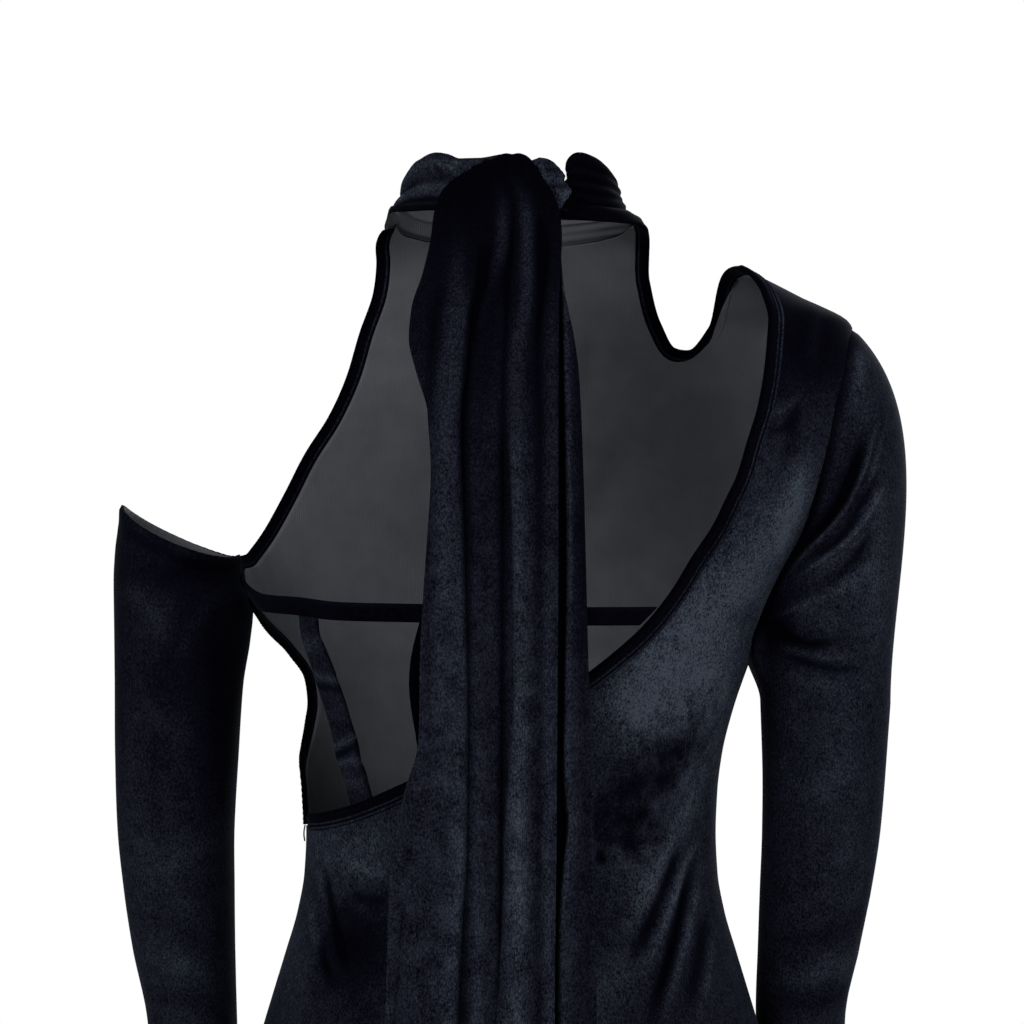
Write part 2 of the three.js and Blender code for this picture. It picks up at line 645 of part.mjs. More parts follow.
// The left sleeve starts below the shoulder, higher on the outside of the arm.
function leftSleeve(u, v) {
  const arm = armAt(LEFT_ARM, u * (LEFT_ARM.length - 1));
  const point = armRing(arm, v);
  const turn = v * 2 * Math.PI;
  const { from, to, rise, dip } = SLEEVE_SLANT;
  const slant = 1 - THREE.MathUtils.smoothstep(-arm.z, -from, -to);
  point.z += slant * (rise * Math.cos(turn) + dip - dip * Math.abs(Math.sin(turn)));
  return point;
}

function sleeve(surface, rows, inward, first = 0, last = rows) {
  const skin = thicken(surface, inward * WALL);
  const margin = 0.003;
  const low = first > 0 ? (first + ELBOW_LEAVE) / rows : margin;
  const high = last < rows ? (last - ELBOW_LEAVE) / rows : 1 - margin;
  return clothWall((row, column, side) => {
    const u = THREE.MathUtils.clamp((first + row) / rows, low, high);
    return skin(u, column / SLEEVE_COLUMNS, side);
  }, last - first, SLEEVE_COLUMNS, true);
}

// The collar: two wraps that meet at the centre front and at the knot behind.
function collarPoint(angle, down, hand, side) {
  const degrees = angle / DEGREE;
  const z = mix(collarTop(degrees), collarLow(degrees), down);
  const off = curveThrough(COLLAR_FOLDS, 'down', hand)(down);
  return onFigure(angle, z, off + side * WALL);
}

function collar(fromAngle, toAngle, hand, rows) {
  return clothWall((row, column, side) => (
    collarPoint(mix(fromAngle, toAngle, row / rows), column / COLLAR_COLUMNS, hand, side)
  ), rows, COLLAR_COLUMNS);
}

// The tails hang from the knot in long folds.
const tailTable = (name) => curveThrough(TAILS, 'z', name);
const tailDepth = tailTable('y');
const tailUnder = tailTable('under');
const tailLeft = tailTable('left');
const tailRight = tailTable('right');
const tailInner = tailTable('inner');
const outerFold = curveThrough(OUTER_FOLDS, 'at', 'rise');
const innerFold = curveThrough(INNER_FOLDS, 'at', 'rise');

// The folds wander sideways and grow deeper and shallower on their way down.
function outerTail(z, across) {
  const spread = THREE.MathUtils.smoothstep(-z, -CREST.height, FOLD_OPENING);
  const swell = FOLD_SWELL.usual + FOLD_SWELL.change * Math.sin(z / FOLD_SWELL.length);
  const depth = mix(FOLD_START, swell, spread);
  const phase = z / FOLD_WANDER.length + FOLD_WANDER.lag * across;
  const wander = FOLD_WANDER.share * across * (1 - across) * Math.sin(phase);
  const x = mix(tailLeft(z), tailRight(z), across);
  return new THREE.Vector3(x, tailDepth(z) + depth * outerFold(across + wander), z);
}

function innerTail(z, across) {
  const away = (z - INNER_TAIL_BUMP.z) / INNER_TAIL_BUMP.length;
  const left = tailLeft(z) - INNER_TAIL_LEFT + INNER_TAIL_BUMP.out * Math.exp(-away * away);
  const x = mix(left, tailInner(z), across);
  const top = THREE.MathUtils.smoothstep(-z, 0, FOLD_OPENING);
  return new THREE.Vector3(x, tailUnder(z) + top * innerFold(across), z);
}

function tail(surface, heights, folds) {
  const across = folds.flatMap((fold, k) => (
    k === 0 ? [fold.at] : [(folds[k - 1].at + fold.at) / 2, fold.at]
  ));
  const skin = thicken((z, place) => surface(z * SKIRT_HEM, place), WALL);
  return clothWall((row, column, side) => (
    skin(heights[row] / SKIRT_HEM, across[column], side)
  ), heights.length - 1, across.length - 1);
}

// The gathered crest of the knot rolls over the collar's upper edge.
function crest(u, v) {
  const turn = mix(CREST.from, CREST.to, v) * DEGREE;
  const { count, depth, droop, lean } = CREST_GATHERS;
  const gather = 1 + depth * Math.cos(u * count * 2 * Math.PI);
  const ends = 1 - droop * (2 * u - 1) ** 2;
  return new THREE.Vector3(
    mix(CREST_LEFT, CREST_RIGHT, u) - lean * Math.sin(turn) * (1 - 2 * u),
    CREST.y - CREST.depth * gather * Math.cos(turn),
    CREST.z + CREST.height * gather * ends * Math.sin(turn),
  );
}

// The side lobe of the knot: a short open loop of cloth beside the crest.
function lobe(u, v) {
  const turn = v * 2 * Math.PI;
  const { least, more, from, over } = LOBE_SWELL;
  const swell = least + more * Math.sin(Math.PI * (from + over * u));
  return new THREE.Vector3(
    LOBE.x + LOBE.half * swell * Math.cos(turn) - LOBE_FOOT.x * u,
    LOBE.y + LOBE.depth * swell * Math.sin(turn) + LOBE_FOOT.y * u,
    LOBE.z + LOBE.height * (0.5 - u),
  );
}

// Cloth finishes
function velvet(colour) {
  return new THREE.MeshStandardMaterial({ color: colour, roughness: 0.95, metalness: 0 });
}

const dress = new THREE.Group();

function addPiece(name, geometry, colour) {
  const mesh = new THREE.Mesh(geometry, velvet(colour));
  mesh.name = name;
  dress.add(mesh);
}

// Panels
const panel = (point, rows) => clothWall(point, rows.length - 1, PANEL_COLUMNS);
addPiece('back_panel', panel(backPoint, BACK_ROWS), PANEL_COLOUR);
addPiece('front_panel', panel(frontPoint, FRONT_ROWS), PANEL_COLOUR);

// Sleeves
const rightRows = SLEEVE_CAP_ROWS + RIGHT_ARM.length - 1;
const upperSleeve = sleeve(rightSleeve, rightRows, 1, 0, ELBOW_ROW);
const lowerSleeve = sleeve(rightSleeve, rightRows, 1, ELBOW_ROW, rightRows);
addPiece('sleeve_right_upper', upperSleeve, RIGHT_SLEEVE_COLOUR);
addPiece('sleeve_right_lower', lowerSleeve, RIGHT_SLEEVE_COLOUR);
addPiece('sleeve_left', sleeve(leftSleeve, LEFT_ARM.length - 1, -1), LEFT_SLEEVE_COLOUR);

// Bindings of the open edges
const backEdge = BACK_ROWS.filter((row) => row.right.z > NECKLINE_FOOT).map((row) => row.left);
backEdge.push(edgePlace(BINDING_END.x, BINDING_END.z));
addPiece('binding_back', binding(edgePlaces(backEdge, onFigure, -1)), BINDING_COLOUR);
const halterPath = HALTER.slice(0, -1).map(halterEdge);
addPiece('binding_halter', binding(edgePlaces(halterPath, frontFigure, 1)), BINDING_COLOUR);
const cutEdge = FRONT_ROWS.slice(ARMHOLE.length, ARMHOLE.length + SIDE_CUT.length - 1)
  .map((row) => row.left);
addPiece('binding_side_cut', binding(edgePlaces(cutEdge, frontFigure, 1)), BINDING_COLOUR);
const scoopEdge = SCOOP.map((place) => edgePlace(place.x, place.z));
addPiece('binding_scoop', binding(edgePlaces(scoopEdge, frontFigure, -1)), BINDING_COLOUR);

// Band across the open back, and the strap from it to the waist
const bandTop = curveThrough(BAND_EDGE, 'x', 'z');
addPiece('back_band', onFigureStrip(BAND.rows, 1, (share) => {
  const slant = BAND.slant * share;
  const x = mix(BAND.left, BAND.right, share);
  const z = bandTop(x);
  const tuck = BAND.tuck * (1 - THREE.MathUtils.smoothstep(share, 0, BAND.tuckEnd));
  return { from: { x: x - slant, z }, to: { x: x + slant - tuck, z: z - BAND_DEPTH } };
}), BAND_COLOUR);
addPiece('side_strap', onFigureStrip(STRAP.rows, 1, (share) => {
  const z = mix(STRAP.top.z, STRAP.foot.z, share);
  const sway = STRAP.sway * Math.sin(share * 3 * Math.PI);
  const x = mix(STRAP.top.x, STRAP.foot.x, share) + sway;
  const half = STRAP_WIDTH / 2;
  const slant = STRAP.slant * share;
  return { from: { x: x + half, z: z - slant }, to: { x: x - half, z: z + slant } };
}), STRAP_COLOUR);

// Collar, knot and tails
const breakAngle = angleAt(COLLAR_BREAK, 0);
const frontMiddle = Math.PI - WRAP_GAP_FRONT;
const rightBreak = breakAngle - WRAP_GAP_BACK;
addPiece('collar_left', collar(breakAngle, frontMiddle, 'left', 16), LEFT_WRAP_COLOUR);
addPiece('collar_right', collar(rightBreak, -frontMiddle, 'right', 12), RIGHT_WRAP_COLOUR);
addPiece('knot_crest', clothWall((row, column, side) => (
  thicken(crest, WALL)(row / CREST.rows, column / CREST.columns, side)
), CREST.rows, CREST.columns), KNOT_COLOUR);
addPiece('knot_lobe', clothWall((row, column, side) => (
  thicken(lobe, WALL)(row / LOBE.rows, column / LOBE.columns, side)
), LOBE.rows, LOBE.columns, true), KNOT_COLOUR);
const outerHeights = TAILS.map((row) => row.z);
addPiece('tail_outer', tail(outerTail, outerHeights, OUTER_FOLDS), KNOT_COLOUR);
addPiece('tail_inner', tail(innerTail, outerHeights.slice(1), INNER_FOLDS), INNER_TAIL_COLOUR);

export default dress;
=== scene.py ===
import math

import bpy
import numpy as np
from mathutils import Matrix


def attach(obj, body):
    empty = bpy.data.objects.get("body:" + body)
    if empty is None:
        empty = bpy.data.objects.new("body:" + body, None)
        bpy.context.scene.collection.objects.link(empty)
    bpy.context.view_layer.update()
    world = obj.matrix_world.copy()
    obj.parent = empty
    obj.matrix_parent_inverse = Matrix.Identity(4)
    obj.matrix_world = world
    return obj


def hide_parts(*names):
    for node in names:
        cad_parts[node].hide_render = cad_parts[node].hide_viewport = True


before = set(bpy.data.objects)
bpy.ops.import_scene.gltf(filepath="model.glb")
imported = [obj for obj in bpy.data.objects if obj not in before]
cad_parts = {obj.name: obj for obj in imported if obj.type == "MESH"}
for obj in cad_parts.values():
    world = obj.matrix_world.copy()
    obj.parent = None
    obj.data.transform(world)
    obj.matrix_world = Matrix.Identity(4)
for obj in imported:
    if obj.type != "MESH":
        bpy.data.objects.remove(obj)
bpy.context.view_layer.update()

# The back panel
# One piece of black stretch velvet, from the right shoulder to the hem and without a waist
# seam. It is sewn to the front at the side seams and to the sleeve at the armhole, and worn
# tight down to the hips, so it follows the figure with a few drag folds at the waist.
MM = 0.001
WALL = 1.6
CLOTH_INNER = 0.1
SQUARENESS = 0.12
SKIRT_HEM = -1400
FLARE_START = -560
NECKLINE_FOOT = -371
SIDE = math.pi / 2
HEM = {"rise": 0.5, "step": 3}
SKIRT_HEM_DEPTH = 22
SEAM_TURN = {"drop": 0.9, "reach": 2.2, "across": 300}
# How light the back is: a base, painted light on the ridges and painted shade in the hollows of
# its folds and creases, and darker over the hips.
BACK_LIGHT = {"base": 0.36, "folds": 0.05, "creases": 0.13, "hips": -0.07}
BACK_CRUSHED = 0.14

# Height, half width, depth behind and depth in front of the side line, in millimetres.
FIGURE = np.array([
    [30, 54, 48, 50], [-15, 64, 52, 50], [-22, 75, 55, 51], [-30, 94, 59, 53], [-40, 116, 63, 55],
    [-49, 137, 67, 57], [-65, 169, 75, 61], [-80, 197, 83, 66], [-110, 205, 93, 76],
    [-150, 200, 101, 93], [-190, 180, 105, 109], [-220, 160, 105, 118], [-240, 150, 103, 120],
    [-273, 138.5, 97, 113], [-304, 128, 90, 103], [-328, 122, 86, 95], [-351, 119, 83, 90],
    [-375, 118, 81, 88], [-398, 119, 82, 88], [-421, 123, 88, 91], [-445, 130, 95, 95],
    [-468, 137, 102, 98], [-488, 143, 107, 100], [-530, 154, 115, 103], [-583, 164, 120, 105],
    [-640, 167, 119, 107], [-760, 168, 117, 112], [-900, 173, 121, 121], [-1050, 187, 135, 135],
    [-1200, 208, 156, 156], [SKIRT_HEM, 240, 186, 186],
])

# The back's upper edge and the right armhole: height and distance from the middle.
NECKLINE = np.array([
    [-49, -137], [-54, -143], [-60, -147.5], [-67, -150.5], [-79, -152.7], [-92.6, -151.6],
    [-110.9, -149.4], [-131.8, -145.1], [-150.4, -139.1], [-170.5, -132.8], [-184.5, -126],
    [-200.1, -118.2], [-216.2, -107.5], [-241.2, -91.5], [-257.9, -77.8], [-275.6, -57.8],
    [-287, -43], [-300, -26], [-313, -7], [-326, 14], [-338, 36], [-348, 57], [-357, 76],
    [-364, 93], [-370, 113], [NECKLINE_FOOT, 117.6],
])
ARMHOLE = np.array([
    [-82, 198], [-86, 195.6], [-91, 193.2], [-109, 189.2], [-127, 184.2], [-149, 179.3],
    [-171, 173.7], [-198, 166], [-223, 153.5], [-246, 143.2], [-263, 137.6], [-272, 138.9],
])

# Flutes of the skirt: degrees round from the centre back, rise at the hem, half width.
FLUTES = [
    (22, 17, 15), (64, 21, 17), (108, 15, 14), (143, 19, 15), (186, 17, 17), (227, 21, 15),
    (268, 16, 14), (305, 20, 17), (338, 14, 13),
]

# Creases of the back: both ends, rise, half width and sideways bow.
BACK_CREASES = [
    (-94.2, -380.1, -69.3, -433.9, -2.2, 3.4, 1.7),
    (-100.9, -393.4, -78.1, -467.1, -2.2, 3.6, 1.7),
    (-97.5, -385.7, -74.8, -441.1, 1.7, 2.8, 1.7), (-104.2, -400.6, -87, -461.6, 1.6, 2.8, 1.1),
    (-105.8, -374.6, -97, -389, 1.1, 1.5, 0), (-89.2, -372.9, -64.8, -420, 1.4, 4.5, 1.1),
    (-109.2, -420, -99.2, -464.4, -1.2, 3.9, 1.1), (-113, -431.1, -104.7, -469.9, 1, 2.2, 1.1),
    (105.3, -394, 93.1, -439.4, -2.2, 2.8, -1.7), (107.5, -395.1, 97, -431.1, 1.7, 1.9, -1.1),
    (113, -411.7, 108.1, -437.8, 1.2, 1.9, -0.6), (106.9, -433.9, 99.2, -453.3, -1.5, 2.2, -1.1),
    (92, -385.7, 67, -394.5, 0.8, 3.4, 0), (88.1, -404.5, 65.9, -407.8, -0.9, 3.4, 0),
    (-56, -375.7, -61.5, -382.3, 1.3, 1.7, 0), (-49.3, -377.4, -51.5, -385.7, -1.8, 2, 0),
    (-64.8, -373.5, -71.5, -380.1, -1.1, 1.7, 0), (-71.5, -375.7, -78.1, -382.3, 1, 1.7, 0),
    (-79.8, -371.3, -83.7, -376.8, -0.9, 1.7, 0), (-59.3, -369, -65.9, -366.8, 0.8, 1.7, 0),
    (-75.9, -386.8, -64.8, -381.2, -0.7, 1.7, 0), (-162.9, -162.9, -145.7, -215, 1.3, 6.7, 2.2),
    (-141.3, -134.1, -163.5, -120.8, 0.8, 2.2, -2.8),
    (-143.5, -144.1, -160.1, -136.3, -0.8, 2.8, -1.7),
    (-174.5, -70.9, -168.5, -104.2, 0.7, 3.9, 0),
    (-160.1, -126.3, -152.4, -165.1, -0.8, 4.5, 1.1), (-60, -438, -22, -520, 1.4, 12, -3),
    (64, -470, 30, -560, 1.2, 13, 3), (-128, -525, -96, -620, -1.6, 12, 2),
    (118, -510, 92, -600, -1.4, 12, -2),
]

# Where the back is lighter or darker, partly how its pile lies and partly painted light and
# shade: place, two radii, tilt in degrees and strength.
BACK_PILE_AND_SHADING = [
    (-151.8, -192.8, 10.1, 30.8, 30, 0.26), (-124.1, -226.1, 23.5, 39.2, 35, 0.28),
    (-99.2, -259.3, 30.2, 37, 40, 0.33), (-71.5, -293.7, 24.6, 28, 48, 0.36),
    (-111.4, -292.6, 15.7, 22.4, 10, 0.3), (-171.2, -90.3, 33.6, 32.5, 0, -0.36),
    (-146.3, -123.6, 14.6, 22.4, 20, -0.08), (-78, -338, 14, 36, 37, -0.22),
    (-92, -318, 8, 16, 37, -0.07), (-60, -366, 11, 10, 30, -0.12), (-66, -331, 8, 16, 37, -0.06),
    (-106.9, -299.2, 7.8, 10.1, 0, -0.12), (-71.5, -399, 22.4, 14.6, 30, 0.2),
    (-101.4, -348, 6.7, 34.7, 22, 0.24), (-128, -247.1, 10.1, 6.7, 0, -0.16),
    (88.1, -431.1, 21.3, 26.9, 10, -0.30), (92, -388, 28, 16, 0, 0.18),
    (83.7, -373.5, 39.2, 11.2, 0, 0.14), (116.9, -436.6, 12.3, 33.6, 12, 0.1),
    (-49.3, -382.3, 3.4, 1.6, 20, -0.16), (-99.2, -436.6, 16.8, 33.6, 20, -0.08),
    (20, -620, 70, 60, 20, 0.16), (-70, -700, 40, 120, 10, 0.14), (90, -820, 44, 130, -8, -0.1),
    (-30, -980, 60, 110, 0, 0.14),
]

# Where the pile of the back is crushed: place, two radii, tilt and how much.
BACK_CRUSH = [
    (-79, -337, 20, 42, 37, 1.3), (-62, -364, 20, 18, 20, 0.7),
    (83.7, -425.6, 22.4, 22.4, 0, 0.4), (-104.7, -292.6, 11.2, 11.2, 0, 0.5),
]


def hermite(t, begin, leave, end, arrive):
    """Cubic from begin to end, as t goes from nought to one: 2t^3 - 3t^2 + 1 of the begin,
    t^3 - 2t^2 + t of its slope, 3t^2 - 2t^3 of the end and t^3 - t^2 of its slope."""
    square, cube = t**2, t**3
    return (
        (2 * cube - 3 * square + 1) * begin
        + (cube - 2 * square + t) * leave
        + (3 * square - 2 * cube) * end
        + (cube - square) * arrive
    )


def curve(table, column):
    """Smooth curve through one column of a table, by its first column: Hermite cubics whose
    slopes are the harmonic mean of the slopes on both sides, and nought at a turn."""
    order = np.argsort(table[:, 0])
    at, value = table[order, 0], table[order, column]
    step = np.diff(at)
    slope = np.diff(value) / step
    level = slope[:-1] * slope[1:] <= 0
    left, right = np.where(level, 1, slope[:-1]), np.where(level, 1, slope[1:])
    before, after = 2 * step[1:] + step[:-1], step[1:] + 2 * step[:-1]
    middle = np.where(level, 0, (before + after) / (before / left + after / right))
    tangent = np.concatenate([slope[:1], middle, slope[-1:]])

    def through(where):
        inside = np.clip(where, at[0], at[-1])
        k = np.clip(np.searchsorted(at, inside, side="right") - 1, 0, len(step) - 1)
        t = (inside - at[k]) / step[k]
        return hermite(t, value[k], step[k] * tangent[k], value[k + 1], step[k] * tangent[k + 1])

    return through


half_width, back_depth, front_depth = (curve(FIGURE, column) for column in (1, 2, 3))
neckline, armhole = curve(NECKLINE, 1), curve(ARMHOLE, 1)


def ramp(low, high, value):
    """Nought up to low, one from high on, and 3t^2 - 2t^3 between them."""
    t = np.clip((value - low) / (high - low), 0, 1)
    return t * t * (3 - 2 * t)


def mix(a, b, share):
    """Straight blend from a to b."""
    return a + (b - a) * share


def bell(away, width):
    """Bell curve: e to the power of minus the square of the distance over the width."""
    return np.exp(-((away / width) ** 2))


def hem_rise(foot, depth, z):
    """The turned-in cloth of a hem, a little proud from its stitches down to its foot."""
    return HEM["rise"] * ramp(foot + depth, foot + depth - HEM["step"], z)


def on_skin(angle, z):
    """Place on the figure: half width times the sine of the angle from the centre back, and
    depth times its cosine, both swollen towards the corners."""
    sine, cosine = np.sin(angle), np.cos(angle)
    depth = np.where(cosine > 0, back_depth(z), front_depth(z))
    x = half_width(z) * sine * (1 + SQUARENESS * cosine**2)
    y = depth * cosine * (1 + SQUARENESS * sine**2)
    return np.stack([x, y, z + 0 * x], -1)


def unit(arrows):
    """Arrows of length one."""
    return arrows / np.linalg.norm(arrows, axis=-1, keepdims=True)


def off_skin(angle, z):
    """Direction square to the figure: the cross product of its two slopes."""
    turn, lift = 0.01, 0.5
    across = on_skin(angle + turn, z) - on_skin(angle - turn, z)
    up = on_skin(angle, z + lift) - on_skin(angle, z - lift)
    return unit(np.cross(up, across))


def on_figure(angle, z, out):
    """Place on the figure moved out, square to it."""
    return on_skin(angle, z) + off_skin(angle, z) * np.asarray(out)[..., None]


def angle_at(x, z):
    """Angle at which the figure is x wide: Newton's steps on the width formula."""
    reach = np.minimum(np.abs(x) / half_width(z), 1)
    sine = reach
    for _ in range(12):
        miss = (1 + SQUARENESS) * sine - SQUARENESS * sine**3 - reach
        sine = sine - miss / (1 + SQUARENESS - 3 * SQUARENESS * sine**2)
    return np.sign(x) * np.arcsin(np.minimum(sine, 1))


def side_angle(depth):
    """Angle of a side seam's edge, a hair short of the side line."""
    return SIDE - 0.01 / depth


def flutes(angle, z):
    """Skirt flutes: bells round the figure that grow from the hips down to the hem."""
    opening = ramp(-FLARE_START, -SKIRT_HEM, -z)
    rise = np.zeros(np.broadcast(angle, z).shape)
    for at, height, width in FLUTES:
        wander = 2.5 * np.sin(z / 170 + at)
        away = (np.degrees(angle) - at - wander + 540) % 360 - 180
        rise = rise + opening * height * bell(away, width)
    return rise


def creases(x, z, table):
    """Soft creases: rise times a bell across each line, bowed by a half sine and faded in
    and out at its ends."""
    total = np.zeros(np.broadcast(x, z).shape)
    for x1, z1, x2, z2, rise, width, bow in table:
        length = math.hypot(x2 - x1, z2 - z1)
        run_x, run_z = (x2 - x1) / length, (z2 - z1) / length
        along = ((x - x1) * run_x + (z - z1) * run_z) / length
        across = (x - x1) * run_z - (z - z1) * run_x
        across = across - bow * np.sin(np.pi * np.clip(along, 0, 1))
        ends = ramp(-0.18, 0.22, along) * ramp(1.25, 0.65, along)
        total = total + rise * ends * bell(across, width)
    return total


def patches(x, z, table, base):
    """How light the pile lies: a base level with soft tilted ovals added to it."""
    level = np.full(np.broadcast(x, z).shape, float(base))
    for at_x, at_z, wide, high, tilt, strength in table:
        turn = math.radians(tilt)
        across = (x - at_x) * math.cos(turn) + (z - at_z) * math.sin(turn)
        along = (z - at_z) * math.cos(turn) - (x - at_x) * math.sin(turn)
        level = level + strength * np.exp(-((across / wide) ** 2) - (along / high) ** 2)
    return level


def ripple(a, b):
    """Uneven ripple between -1 and 1: four sine waves of unlike length and direction."""
    waves = [(1.0, 0.31, 0.4), (-0.57, 1.13, 2.1), (1.61, -0.83, 4.4), (0.37, 1.9, 5.6)]
    return sum(np.sin(p * a + q * b + r) for p, q, r in waves) / len(waves)


def cloth(name, outer, inner, pile_and_shading, closed=False, crush=0.0):
    """Closed wall of cloth between two grids of places in millimetres, with rims round its
    free edges. A closed grid joins round its columns. Material 0 is the right side and the
    rims, and material 1 the wrong side."""
    rows, columns = outer.shape[:2]
    count = rows * columns
    index = np.arange(count).reshape(rows, columns)
    if closed:
        index = np.hstack([index, index[:, :1]])

    def quads(grid):
        corners = [grid[:-1, :-1], grid[:-1, 1:], grid[1:, 1:], grid[1:, :-1]]
        return np.stack(corners, -1).reshape(-1, 4)

    def rim(line):
        return quads(np.stack([line + count, line]))

    rims = [rim(index[0]), rim(index[-1][::-1])]
    if not closed:
        rims += [rim(index[::-1, 0]), rim(index[:, -1])]
    skin = quads(index)
    faces = np.vstack([skin, *rims, skin[:, ::-1] + count])
    places = np.vstack([outer.reshape(-1, 3), inner.reshape(-1, 3)]) * MM
    a, b, c, d = (places[faces[:, k]] for k in range(4))
    volume = (a * np.cross(b, c)).sum() + (a * np.cross(c, d)).sum()
    if volume < 0:
        faces = faces[:, ::-1]
    mesh = bpy.data.meshes.new(name)
    mesh.from_pydata(places.tolist(), [], faces.tolist())
    wrong = np.zeros(len(faces), np.int32)
    wrong[-len(skin):] = 1
    mesh.polygons.foreach_set("material_index", wrong)
    # How light each place is: how its pile lies, with painted light and shade along folds,
    # creases and seams.
    level = mesh.attributes.new("pile_and_shading", "FLOAT", "POINT")
    level.data.foreach_set("value", np.tile(np.asarray(pile_and_shading, float).ravel(), 2))
    spots = mesh.attributes.new("crush", "FLOAT", "POINT")
    spots.data.foreach_set("value", np.tile((crush + 0 * pile_and_shading).ravel(), 2))
    mesh.shade_smooth()
    piece = bpy.data.objects.new(name, mesh)
    bpy.context.scene.collection.objects.link(piece)
    return piece


def on_body(name, angle, z, outer, inner, pile_and_shading, crush=0.0):
    """A cloth that lies on the figure, with its right and wrong side so far off it."""
    return cloth(name, on_figure(angle, z, outer), on_figure(angle, z, inner), pile_and_shading, crush=crush)


# The velvet's colour from darkest to lightest, by how its pile lies together with the painted
# light and shade: share of the way, colour.
PILE_COLOURS = [
    (0.0, (0.0003, 0.0003, 0.0009)), (0.2, (0.0015, 0.0016, 0.0032)),
    (0.4, (0.0046, 0.0050, 0.0084)), (0.7, (0.0110, 0.0134, 0.0192)),
    (1.0, (0.021, 0.026, 0.035)),
]
PILE_RIM = (0.55, 0.7, 0.85)

# Patterns of the pile: scale, detail, upright stretch, and how far each moves the colour.
PILE = {
    "blotches": (22, 3, 0.75, 0.28), "spots": (150, 4, 0.8, 0.24), "flecks": (560, 3, 0.7, 0.34),
    "tufts": (1150, 2, 0.6, 1.05), "crushed": (95, 6, 0.8, 1.1),
}
PILE_CONTRAST = {"least": 0.12, "with_nap": 2.4}


def new_cloth(name):
    """New material with its nodes, its links, its surface and the places on the object."""
    material = bpy.data.materials.new(name)
    material.use_nodes = True
    nodes, links = material.node_tree.nodes, material.node_tree.links
    place = nodes.new("ShaderNodeTexCoord").outputs["Object"]
    return material, nodes, links, nodes["Principled BSDF"], place


def raise_cloth(material, height, strength, distance):
    """Fine relief of a cloth's surface, from a pattern's output."""
    nodes, links = material.node_tree.nodes, material.node_tree.links
    bump = nodes.new("ShaderNodeBump")
    bump.inputs["Strength"].default_value = strength
    bump.inputs["Distance"].default_value = distance
    links.new(height, bump.inputs["Height"])
    links.new(bump.outputs["Normal"], nodes["Principled BSDF"].inputs["Normal"])


def velvet(name, mottle=1.0, rim=0.02):
    """Short-pile velvet. Its colour runs from dark to light with the attribute that holds how the
    pile lies together with painted light and shade along folds, creases and seams, broken by soft
    blotches and small crushed spots, and by the grain of single tufts, which is also its bump.
    The sheen gives the pale rim where the pile is seen from the side."""
    material, nodes, links, surface, place = new_cloth(name)

    def attribute(kind):
        node = nodes.new("ShaderNodeAttribute")
        node.attribute_name = kind
        return node.outputs["Fac"]

    def noise(kind):
        scale, detail, upright, _ = PILE[kind]
        turned = nodes.new("ShaderNodeMapping")
        turned.inputs["Scale"].default_value = (1, 1, upright)
        links.new(place, turned.inputs["Vector"])
        cloud = nodes.new("ShaderNodeTexNoise")
        cloud.inputs["Scale"].default_value = scale
        cloud.inputs["Detail"].default_value = detail
        links.new(turned.outputs["Vector"], cloud.inputs["Vector"])
        return cloud.outputs["Fac"]

    def math_node(operation, *values):
        node = nodes.new("ShaderNodeMath")
        node.operation = operation
        for socket, value in zip(node.inputs, values):
            if isinstance(value, float):
                socket.default_value = value
            else:
                links.new(value, socket)
        return node.outputs[0]

    def part(value, share, base=None):
        """The value times a share, from a base, which is by default minus half the share."""
        return math_node("MULTIPLY_ADD", value, share, -share / 2 if base is None else base)

    def product(one, other):
        return math_node("MULTIPLY", one, other)

    def sum_of(one, other):
        return math_node("ADD", one, other)

    # How the pile lies together with the painted light and shade, and where the pile is crushed.
    pile_and_shading, crush = attribute("pile_and_shading"), attribute("crush")
    tufts = noise("tufts")
    grain = part(noise("blotches"), PILE["blotches"][3] * mottle)
    grain = sum_of(grain, part(noise("spots"), PILE["spots"][3] * mottle))
    grain = sum_of(grain, part(noise("flecks"), PILE["flecks"][3]))
    grain = sum_of(grain, part(tufts, PILE["tufts"][3]))
    crushed = product(part(noise("crushed"), PILE["crushed"][3]), crush)
    strength = part(pile_and_shading, PILE_CONTRAST["with_nap"], PILE_CONTRAST["least"])
    level = sum_of(pile_and_shading, product(sum_of(grain, crushed), strength))
    shade = nodes.new("ShaderNodeValToRGB")
    steps = shade.color_ramp.elements
    steps[0].color = (*PILE_COLOURS[0][1], 1)
    steps[1].color = (*PILE_COLOURS[-1][1], 1)
    for at, colour in PILE_COLOURS[1:-1]:
        steps.new(at).color = (*colour, 1)
    links.new(level, shade.inputs["Fac"])
    links.new(shade.outputs["Color"], surface.inputs["Base Color"])
    raise_cloth(material, tufts, 0.35, 0.0004)
    surface.inputs["Roughness"].default_value = 0.95
    surface.inputs["Specular IOR Level"].default_value = 0.004
    surface.inputs["Sheen Weight"].default_value = rim
    surface.inputs["Sheen Roughness"].default_value = 0.3
    surface.inputs["Sheen Tint"].default_value = (*PILE_RIM, 1)
    return material


